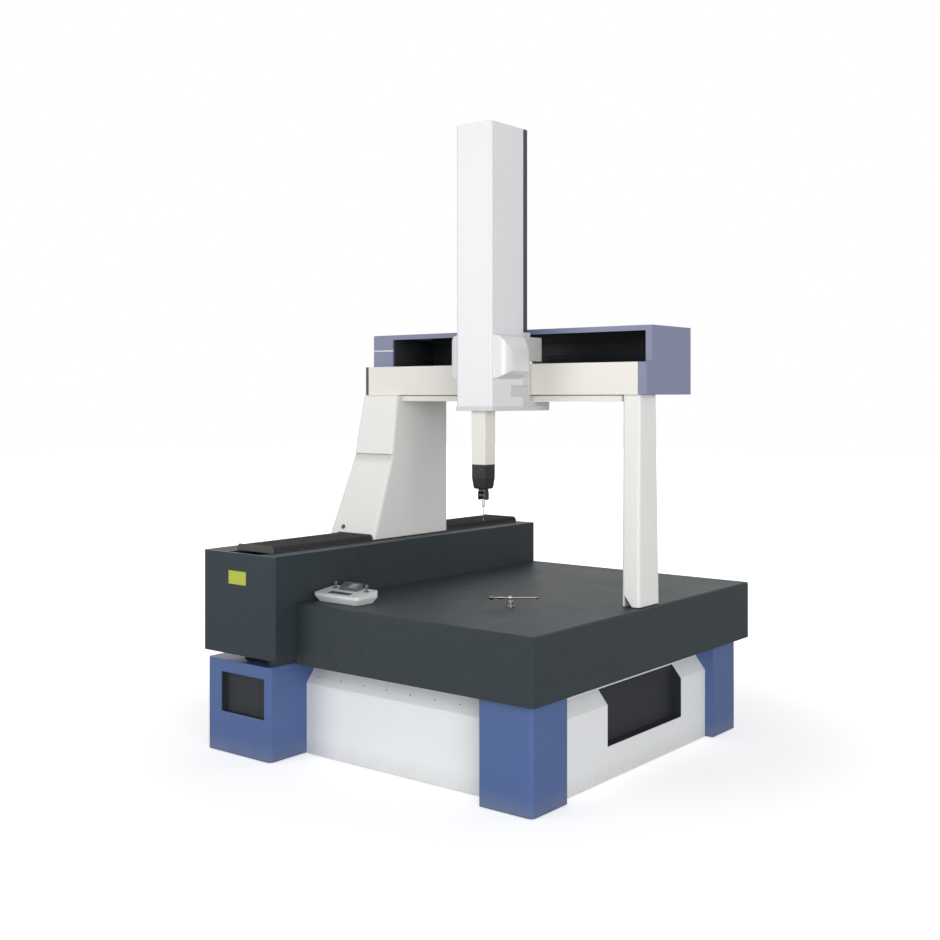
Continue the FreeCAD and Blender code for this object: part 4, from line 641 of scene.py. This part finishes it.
# ---------------------------------------------------------------- modelling helpers
def deselect():
    if bpy.context.object and bpy.context.object.mode != "OBJECT":
        bpy.ops.object.mode_set(mode="OBJECT")
    bpy.ops.object.select_all(action="DESELECT")


def named(name):
    """Name the object that was just added, with its place in its mesh."""
    bpy.ops.object.transform_apply(location=True, rotation=True, scale=True)
    piece = bpy.context.object
    piece.name = piece.data.name = name
    return piece


def add_block(name, low, high):
    """Block between two corners."""
    deselect()
    low, high = Vector(low), Vector(high)
    bpy.ops.mesh.primitive_cube_add(size=1, location=(low + high) / 2)
    bpy.context.object.scale = high - low
    return named(name)


def add_disc(name, centre, radius, depth, axis=(0, 0, 1), sides=32):
    """Short cylinder about an axis, with its middle at centre."""
    deselect()
    turn = Vector((0, 0, 1)).rotation_difference(Vector(axis)).to_euler()
    bpy.ops.mesh.primitive_cylinder_add(vertices=sides, radius=radius, depth=depth, location=centre,
                                        rotation=turn)
    return named(name)


def add_ball(name, centre, radius, segments=32, rings=16):
    deselect()
    bpy.ops.mesh.primitive_uv_sphere_add(segments=segments, ring_count=rings, radius=radius, location=centre)
    return named(name)


def edit(piece):
    deselect()
    piece.select_set(True)
    bpy.context.view_layer.objects.active = piece
    bpy.ops.object.mode_set(mode="EDIT")


def pick(piece, kind, test):
    """In edit mode, select the vertices, edges or faces that pass a test."""
    bpy.ops.mesh.select_mode(type=kind)
    bpy.ops.mesh.select_all(action="DESELECT")
    shape = bmesh.from_edit_mesh(piece.data)
    shape.normal_update()
    items = {"VERT": shape.verts, "EDGE": shape.edges, "FACE": shape.faces}[kind]
    chosen = [item for item in items if test(item)]
    for item in chosen:
        item.select_set(True)
    shape.select_flush_mode()
    bmesh.update_edit_mesh(piece.data)
    if not chosen:
        raise RuntimeError("nothing to select on " + piece.name)


def facing(axis, limit=0.9):
    way = Vector(axis).normalized()
    return lambda face: face.normal.dot(way) > limit


def with_modifier(piece, kind, **settings):
    """Add a modifier and apply it."""
    deselect()
    piece.select_set(True)
    bpy.context.view_layer.objects.active = piece
    modifier = piece.modifiers.new(kind.title(), kind)
    for name, value in settings.items():
        setattr(modifier, name, value)
    bpy.ops.object.modifier_apply(modifier=modifier.name)


def round_edges(piece, width, segments=2, angle=35):
    with_modifier(piece, "BEVEL", width=width, segments=segments, limit_method="ANGLE",
                  angle_limit=math.radians(angle))


def merged(name, pieces):
    """Join pieces of one kind into one object."""
    deselect()
    for piece in pieces:
        piece.select_set(True)
    bpy.context.view_layer.objects.active = pieces[0]
    bpy.ops.object.join()
    piece = bpy.context.object
    piece.name = piece.data.name = name
    return piece


def copies(piece, offsets):
    """The piece itself and a copy at each offset, each with its own mesh."""
    made = [piece]
    for offset in offsets:
        twin = piece.copy()
        twin.data = piece.data.copy()
        twin.data.transform(Matrix.Translation(offset))
        bpy.context.scene.collection.objects.link(twin)
        made.append(twin)
    return made


def settle(piece, body, finish, smooth=35):
    """Smooth the piece, give it its finish and let it ride on its body."""
    deselect()
    piece.select_set(True)
    bpy.context.view_layer.objects.active = piece
    bpy.ops.object.transform_apply(location=True, rotation=True, scale=True)
    bpy.ops.object.shade_smooth_by_angle(angle=math.radians(smooth))
    piece.data.materials.clear()
    piece.data.materials.append(bpy.data.materials[finish])
    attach(piece, body)
    return piece


# ---------------------------------------------------------------- operators
class MACHINE_OT_finishes(Operator):
    """Make every finish and give it to the machine's parts"""
    bl_idname = "machine.finishes"
    bl_label = "Finishes"

    def execute(self, context):
        for plain in bpy.data.materials:
            plain.name = "plain_" + plain.name
        for make in EFFECTS:
            make()
        for slot, make in FINISHES.items():
            make(slot).name = slot
        for node, part in frame["nodes"].items():
            finish = bpy.data.materials[FINISH_OF.get(node, SLOT_OF[node])]
            for place_in_list in part.material_slots:
                place_in_list.material = finish
            if not part.material_slots:
                raise RuntimeError(node + " has no material slot")
        return {"FINISHED"}


def climb(share, margin=0.125):
    """Height of a smooth step that starts and ends beyond the bellows by a margin."""
    t = (share + margin) / (1 + 2 * margin)
    return t * t * (3 - 2 * t)


def pleated_strip(name, x0, x1, y0, pitch, pleats, low, high, bevel):
    """Folded cloth from y0 over some pleats: ridges at full height, valleys lower and narrower."""
    columns = 6
    deselect()
    bpy.ops.mesh.primitive_grid_add(x_subdivisions=columns, y_subdivisions=2 * pleats, size=1)
    strip = bpy.context.object
    strip.scale = (x1 - x0, pitch * pleats, 1)
    strip.location = ((x0 + x1) / 2, y0 + pitch * pleats / 2, high)
    strip = named(name)
    centre, half, depth = (x0 + x1) / 2, (x1 - x0) / 2, sizes().pleat_depth
    column = 2 * half / columns
    touch = 1e-5

    def in_column(number):
        return lambda v: abs(abs(v.co.x - centre) - number * column) < column / 4

    edit(strip)
    for number, side, drop in ((3, half, high - low), (2, half, bevel), (1, half - bevel, 0)):
        for way in (-1, 1):
            in_this = in_column(number)
            pick(strip, "VERT", lambda v, way=way, here=in_this: here(v) and (v.co.x - centre) * way > 0)
            shift = way * (side - number * column)
            bpy.ops.transform.translate(value=(shift, 0, -drop))

    def in_valley(v):
        return round((v.co.y - y0) / pitch * 2) % 2 == 0 and v.co.z > low + touch
    inner = half - bevel + touch
    for way in (-1, 1):
        pick(strip, "VERT", lambda v, way=way: in_valley(v) and (v.co.x - centre) * way > inner)
        bpy.ops.transform.translate(value=(-way * depth, 0, 0))
    pick(strip, "VERT", lambda v: in_valley(v) and v.co.z > high - bevel / 2)
    bpy.ops.transform.translate(value=(0, 0, -depth))
    bpy.ops.object.mode_set(mode="OBJECT")
    return strip


class MACHINE_OT_bellows(Operator):
    """Pleated cloth over the Y guide's slot, before and behind the leg"""
    bl_idname = "machine.bellows"
    bl_label = "Bellows"
    END_PLEATS = 2
    NEXT_PLEATS = 3
    END_SHARE = 0.6

    def execute(self, context):
        for node, away in (("bellows_front", False), ("bellows_back", True)):
            low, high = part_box(node)
            total = max(8, round((high.y - low.y) / sizes().pleat_pitch))
            pitch = (high.y - low.y) / total
            end_fold, next_fold = self.END_PLEATS, self.NEXT_PLEATS
            counts = [end_fold, next_fold, total - 2 * (end_fold + next_fold), next_fold, end_fold]
            cloth = sizes().cloth
            done = 0
            for number, pleats in enumerate(counts):
                y0, y1 = low.y + done * pitch, low.y + (done + pleats) * pitch
                strip = pleated_strip(f"{node}_cloth_{number + 1}", low.x + cloth, high.x - cloth, y0, pitch,
                                      pleats, low.z, high.z - cloth, (high.z - low.z) / 2)
                with_modifier(strip, "SOLIDIFY", thickness=cloth, offset=0)
                settle(strip, "base", "bellows_black", smooth=20)
                strip.parent = None
                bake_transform(strip)
                if number == 0:
                    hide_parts(node)
                done += pleats
        return {"FINISHED"}

    def weight(self, count, total):
        """Share of the moving end's travel after some pleats, so that no fold is turned over."""
        slack = self.END_SHARE * self.END_PLEATS / total
        known = {0: 0.0, self.END_PLEATS: slack, total - self.END_PLEATS: 1 - slack, total: 1.0}
        return known[count] if count in known else climb(count / total)


class MACHINE_OT_stylus(Operator):
    """Stylus with a flared collar, a slim stem and a ruby ball"""
    bl_idname = "machine.stylus"
    bl_label = "Stylus"

    def execute(self, context):
        low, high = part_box("stylus")
        centre = (low + high) / 2
        ball = (high.x - low.x) / 2
        collar, neck, flare, taper = 0.008, 0.011, 1.7, 0.6
        stem_low = low.z + ball
        stem = add_disc("stylus_stem", (centre.x, centre.y, (stem_low + high.z) / 2), ball / 2,
                        high.z - stem_low, sides=24)
        edit(stem)
        for drop in (collar, neck):
            bpy.ops.mesh.select_all(action="SELECT")
            bpy.ops.mesh.bisect(plane_co=(0, 0, high.z - drop), plane_no=(0, 0, 1))
        pick(stem, "VERT", lambda v: v.co.z > high.z - (collar + neck) / 2)
        bpy.ops.transform.resize(value=(flare, flare, 1), center_override=centre)
        pick(stem, "VERT", lambda v: v.co.z < stem_low + ball)
        bpy.ops.transform.resize(value=(taper, taper, 1), center_override=centre)
        bpy.ops.object.mode_set(mode="OBJECT")
        round_edges(stem, 0.0002)
        settle(stem, "knuckle", "stylus_steel")
        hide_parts("stylus")
        tip = add_ball("stylus_ball", (centre.x, centre.y, stem_low), ball)
        with_modifier(tip, "SUBSURF", levels=1, render_levels=1)
        settle(tip, "knuckle", "ruby")
        return {"FINISHED"}


class MACHINE_OT_probe_head(Operator):
    """Flange under the ram and a small lens on the probe head"""
    bl_idname = "machine.probe_head"
    bl_label = "Probe head trim"

    def execute(self, context):
        low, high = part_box("probe_head")
        centre, half = (low + high) / 2, (high.x - low.x) / 2
        level, thickness, proud, corner = high.z - 0.004, 0.0022, 0.0004, 0.008
        seam = add_block("head_flange", (low.x - proud, low.y - proud, level - thickness),
                         (high.x + proud, high.y + proud, level))
        edit(seam)
        pick(seam, "EDGE", lambda e: abs(e.verts[0].co.z - e.verts[1].co.z) > thickness / 2)
        bpy.ops.mesh.bevel(offset=corner, segments=6)
        bpy.ops.object.mode_set(mode="OBJECT")
        round_edges(seam, 0.0003)
        settle(seam, "z_ram", "motor_black")
        lens_at = (centre.x + half * 0.45, low.y + 0.0006, high.z - 0.022)
        lens = add_disc("head_lens", lens_at, 0.0026, 0.0024, axis=(0, -1, 0), sides=24)
        round_edges(lens, 0.0007, 3)
        settle(lens, "z_ram", "screen")
        return {"FINISHED"}


def screw_head(name, centre, radius, axis, sides):
    """Button head with a round socket, standing on a face along an axis."""
    deselect()
    height = radius * 0.6
    bpy.ops.mesh.primitive_cylinder_add(vertices=sides, radius=radius, depth=height,
                                        location=(0, 0, height / 2))
    head = named(name)
    edit(head)
    pick(head, "FACE", facing((0, 0, 1)))
    bpy.ops.mesh.inset(thickness=radius * 0.25, depth=radius * 0.12)
    bpy.ops.mesh.inset(thickness=radius * 0.3, depth=0)
    bpy.ops.mesh.extrude_region_move(TRANSFORM_OT_translate={"value": (0, 0, -radius * 0.35)})
    bpy.ops.object.mode_set(mode="OBJECT")
    turn = Vector((0, 0, 1)).rotation_difference(Vector(axis)).to_matrix().to_4x4()
    turn.translation = Vector(centre)
    head.data.transform(turn)
    return head


def spaced(first, last, count):
    """Even places from first to last."""
    return [first + number * (last - first) / (count - 1) for number in range(count)]


class MACHINE_OT_screws(Operator):
    """Button-head screws on the covers"""
    bl_idname = "machine.screws"
    bl_label = "Cover screws"

    def execute(self, context):
        radius, sides = sizes().screw, sizes().screw_sides
        low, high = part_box("panel_screws")
        count = 8
        step = (high.x - low.x - 0.01) / (count - 1)
        lean = Vector((0, -(high.z - low.z), high.y - low.y)).normalized()
        first = Vector((low.x + 0.005, (low.y + high.y) / 2 + 0.0008, (low.z + high.z) / 2 - 0.001))
        head = screw_head("panel_screw_heads", first, radius * 0.8, lean, sides)
        row = [(step * number, 0, 0) for number in range(1, count)]
        panel_heads = merged("panel_screw_heads", copies(head, row))
        settle(panel_heads, "base", "steel")
        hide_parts("panel_screws")
        back_low, back_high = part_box("hood")
        heads = []
        for x in spaced(back_low.x + 0.06, back_high.x - 0.06, 6):
            for z in (back_low.z + 0.03, back_high.z - 0.03):
                heads.append(screw_head("hood_screws", (x, back_high.y, z), radius, (0, 1, 0), sides))
        settle(merged("hood_screws", heads), "bridge", "screw_black")
        cover_low, cover_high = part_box("z_cover_back")
        heads = []
        for x in (cover_low.x + 0.02, cover_high.x - 0.02):
            for z in spaced(cover_low.z + 0.05, cover_high.z - 0.05, 5):
                heads.append(screw_head("back_cover_screws", (x, cover_high.y, z), radius, (0, 1, 0), sides))
        settle(merged("back_cover_screws", heads), "carriage", "screw_black")
        return {"FINISHED"}


class MACHINE_OT_leg_plug(Operator):
    """Dark plug in the face of the leg's foot"""
    bl_idname = "machine.leg_plug"
    bl_label = "Leg plug"

    def execute(self, context):
        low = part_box("left_leg")[0]
        lean = math.atan2(LEG_FOOT_SLOPE, LEG_FOOT_HEIGHT)
        way = Vector((0, -math.cos(lean), math.sin(lean)))
        side, rise, proud, thickness = 0.085, 0.048, 0.0008, 0.006
        centre = Vector((low.x + side, low.y + rise * math.tan(lean), low.z + rise))
        plug = add_disc("leg_plug", centre + way * proud, sizes().plug, thickness, axis=way, sides=32)
        edit(plug)
        pick(plug, "FACE", facing(way))
        bpy.ops.mesh.inset(thickness=0.003, depth=-0.0012)
        bpy.ops.object.mode_set(mode="OBJECT")
        round_edges(plug, 0.0006)
        settle(plug, "bridge", "motor_black")
        return {"FINISHED"}


class MACHINE_OT_hood_trim(Operator):
    """Pale strip along the joint across the hood's left end, a painted highlight on the seam, and a black
    sheet in the recess beside it, painted shade over the lit inner face of the hood's end
    """
    bl_idname = "machine.hood_trim"
    bl_label = "Hood trim"

    def execute(self, context):
        hood_low, hood_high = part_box("hood")
        beam_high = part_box("beam")[1]
        gap, sheet = 0.0006, 0.002
        # Painted shade: a black sheet inside the hood's left end stands for the shade in the recess and hides
        # the lit inner face.
        lining = add_block("recess_lining", (hood_low.x + gap, hood_low.y + 0.010, beam_high.z + 0.004),
                           (hood_low.x + gap + sheet, hood_high.y - 0.030, hood_high.z - 0.016))
        round_edges(lining, 0.0008)
        settle(lining, "bridge", "recess_black")
        low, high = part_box("hood_ends")
        # Painted highlight: a pale strip along the seam across the hood's left end.
        level, proud, depth = high.z - 0.076, 0.0008, 0.012
        strip = add_block("hood_joint_strip", (low.x - proud, hood_low.y - proud, level - sizes().trim / 2),
                          (hood_low.x, hood_low.y + depth, level + sizes().trim / 2))
        round_edges(strip, 0.0007)
        settle(strip, "bridge", "cover_gloss")
        return {"FINISHED"}


class MACHINE_OT_pendant(Operator):
    """Glass of the hand pendant's display, and its lamp"""
    bl_idname = "machine.pendant"
    bl_label = "Hand pendant"
    LID_RISE = 0.016
    LID_DEPTH = 0.140
    SCREEN_RISE = 0.0143
    SCREEN_RUN = 0.0368
    SCREEN_DROP = 0.0198
    SCREEN_MIDDLE = 0.0195

    def execute(self, context):
        low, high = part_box("pendant_display")
        slope = math.atan2(self.LID_RISE, self.LID_DEPTH)
        lean = slope + math.atan2(self.SCREEN_RISE, self.SCREEN_RUN)
        along = Vector((0, math.cos(lean), math.sin(lean)))
        front = Vector(((low.x + high.x) / 2, low.y, high.z - self.SCREEN_DROP))
        half = Vector((0.0415, 0.0152, 0.0006))
        glass = add_block("display_glass", -half, half)
        round_edges(glass, 0.0004)
        turn = Euler((lean, 0, 0)).to_matrix().to_4x4()
        turn.translation = front + along * self.SCREEN_MIDDLE
        glass.data.transform(turn)
        settle(glass, "base", "screen")
        keys_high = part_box("pendant_keypad")[1]
        lamp_at = ((low.x + high.x) / 2 + 0.075, keys_high.y - 0.006, keys_high.z - 0.003)
        upward = (0, -math.sin(slope), math.cos(slope))
        light = add_disc("pendant_lamp", lamp_at, 0.0022, 0.003, axis=upward, sides=24)
        round_edges(light, 0.0008, 3)
        settle(light, "base", "lamp_green")
        return {"FINISHED"}


def aim(thing, target):
    thing.rotation_euler = (Vector(target) - thing.location).to_track_quat("-Z", "Y").to_euler()


def soft_light(name, place_at, target, width, height, power):
    data = bpy.data.lights.new(name, "AREA")
    data.shape = "RECTANGLE"
    data.size, data.size_y, data.energy = width, height, power
    lamp_object = bpy.data.objects.new(name, data)
    bpy.context.scene.collection.objects.link(lamp_object)
    lamp_object.location = place_at
    aim(lamp_object, target)
    return lamp_object


class MACHINE_OT_stage(Operator):
    """Pale floor, soft lights and the camera"""
    bl_idname = "machine.stage"
    bl_label = "Stage"

    def execute(self, context):
        studio = context.scene.machine_studio
        self.make_floor(studio)
        self.make_world(studio)
        heart = (0, 0, 1.1)
        soft_light("key_light", (-5.8, -10.8, 3.6), heart, 7.0, 5.0, studio.key_power)
        soft_light("fill_light", (8.8, -7.2, 3.0), heart, 6.0, 5.0, studio.fill_power)
        lens = bpy.data.cameras.new("camera")
        lens.lens, lens.sensor_width, lens.shift_y = 47.5, 36.0, -0.0761
        camera = bpy.data.objects.new("camera", lens)
        context.scene.collection.objects.link(camera)
        camera.location = (3.5189, -4.55205, 1.5809)
        camera.rotation_euler = (math.radians(90), 0, math.radians(38.34))
        context.scene.camera = camera
        context.scene.view_settings.view_transform = "Standard"
        return {"FINISHED"}

    def make_floor(self, studio):
        """Floor that looks white to the camera but keeps the machine's shadow."""
        deselect()
        bpy.ops.mesh.primitive_plane_add(size=60, location=(0, 0, 0))
        floor = named("floor")
        material = bpy.data.materials.new("floor")
        material.use_nodes = True
        tree = material.node_tree
        shader = tree.nodes["Principled BSDF"]
        patch = place(tree, "TexNoise", Scale=0.8, Detail=2.0)
        colour = [*studio.floor, 1.0]
        mix = mix_colour(tree, patch, "Fac", shade_of(colour, 0.985), shade_of(colour, 1.015))
        tree.links.new(mix.outputs[2], shader.inputs["Base Color"])
        shader.inputs["Roughness"].default_value = 0.85
        shader.inputs["Specular IOR Level"].default_value = 0.1
        where = place(tree, "TexCoord")
        away = place(tree, "VectorMath", operation="LENGTH")
        join(tree, where, "Object", away, 0)
        glow = place(tree, "MapRange", interpolation_type="SMOOTHSTEP", From_Min=1.3, From_Max=3.2,
                     To_Min=studio.floor_glow, To_Max=1.0)
        join(tree, away, "Value", glow, "Value")
        rays = place(tree, "LightPath")
        seen = place(tree, "Math", operation="MULTIPLY")
        join(tree, rays, "Is Camera Ray", seen, 0)
        join(tree, glow, "Result", seen, 1)
        shader.inputs["Emission Color"].default_value = (1, 1, 1, 1)
        join(tree, seen, "Value", shader, "Emission Strength")
        floor.data.materials.append(material)

    def make_world(self, studio):
        """Even room light; the camera and reflections see white."""
        world = bpy.data.worlds.new("room")
        bpy.context.scene.world = world
        world.use_nodes = True
        tree = world.node_tree
        background = tree.nodes["Background"]
        background.inputs["Color"].default_value = (1, 1, 1, 1)
        rays = place(tree, "LightPath")
        seen = place(tree, "Math", operation="MAXIMUM")
        join(tree, rays, "Is Camera Ray", seen, 0)
        join(tree, rays, "Is Transmission Ray", seen, 1)
        glossy = place(tree, "Math", operation="MAXIMUM")
        join(tree, seen, "Value", glossy, 0)
        join(tree, rays, "Is Glossy Ray", glossy, 1)
        strength = place(tree, "MapRange", To_Min=studio.ambient, To_Max=1.0)
        join(tree, glossy, "Value", strength, "Value")
        join(tree, strength, "Result", background, "Strength")


STEPS = [MACHINE_OT_finishes, MACHINE_OT_bellows, MACHINE_OT_stylus, MACHINE_OT_probe_head, MACHINE_OT_screws,
         MACHINE_OT_leg_plug, MACHINE_OT_hood_trim, MACHINE_OT_pendant, MACHINE_OT_stage]


class MACHINE_PT_panel(Panel):
    """Lists the steps that dress the machine"""
    bl_idname = "MACHINE_PT_panel"
    bl_label = "Measuring machine"
    bl_space_type = "VIEW_3D"
    bl_region_type = "UI"
    bl_category = "Machine"

    def draw(self, context):
        for step in STEPS:
            self.layout.operator(step.bl_idname)


SETTINGS = {
    "machine_colours": MachineColours,
    "machine_sizes": MachineSizes,
    "machine_studio": StudioSettings,
}


def register():
    for kind in (*SETTINGS.values(), *STEPS, MACHINE_PT_panel):
        bpy.utils.register_class(kind)
    for name, kind in SETTINGS.items():
        setattr(bpy.types.Scene, name, PointerProperty(type=kind))


def unregister():
    for name in SETTINGS:
        delattr(bpy.types.Scene, name)
    for kind in reversed((*SETTINGS.values(), *STEPS, MACHINE_PT_panel)):
        bpy.utils.unregister_class(kind)


def main():
    register()
    for step in STEPS:
        group, name = step.bl_idname.split(".")
        getattr(getattr(bpy.ops, group), name)()


if __name__ == "__main__":
    main()
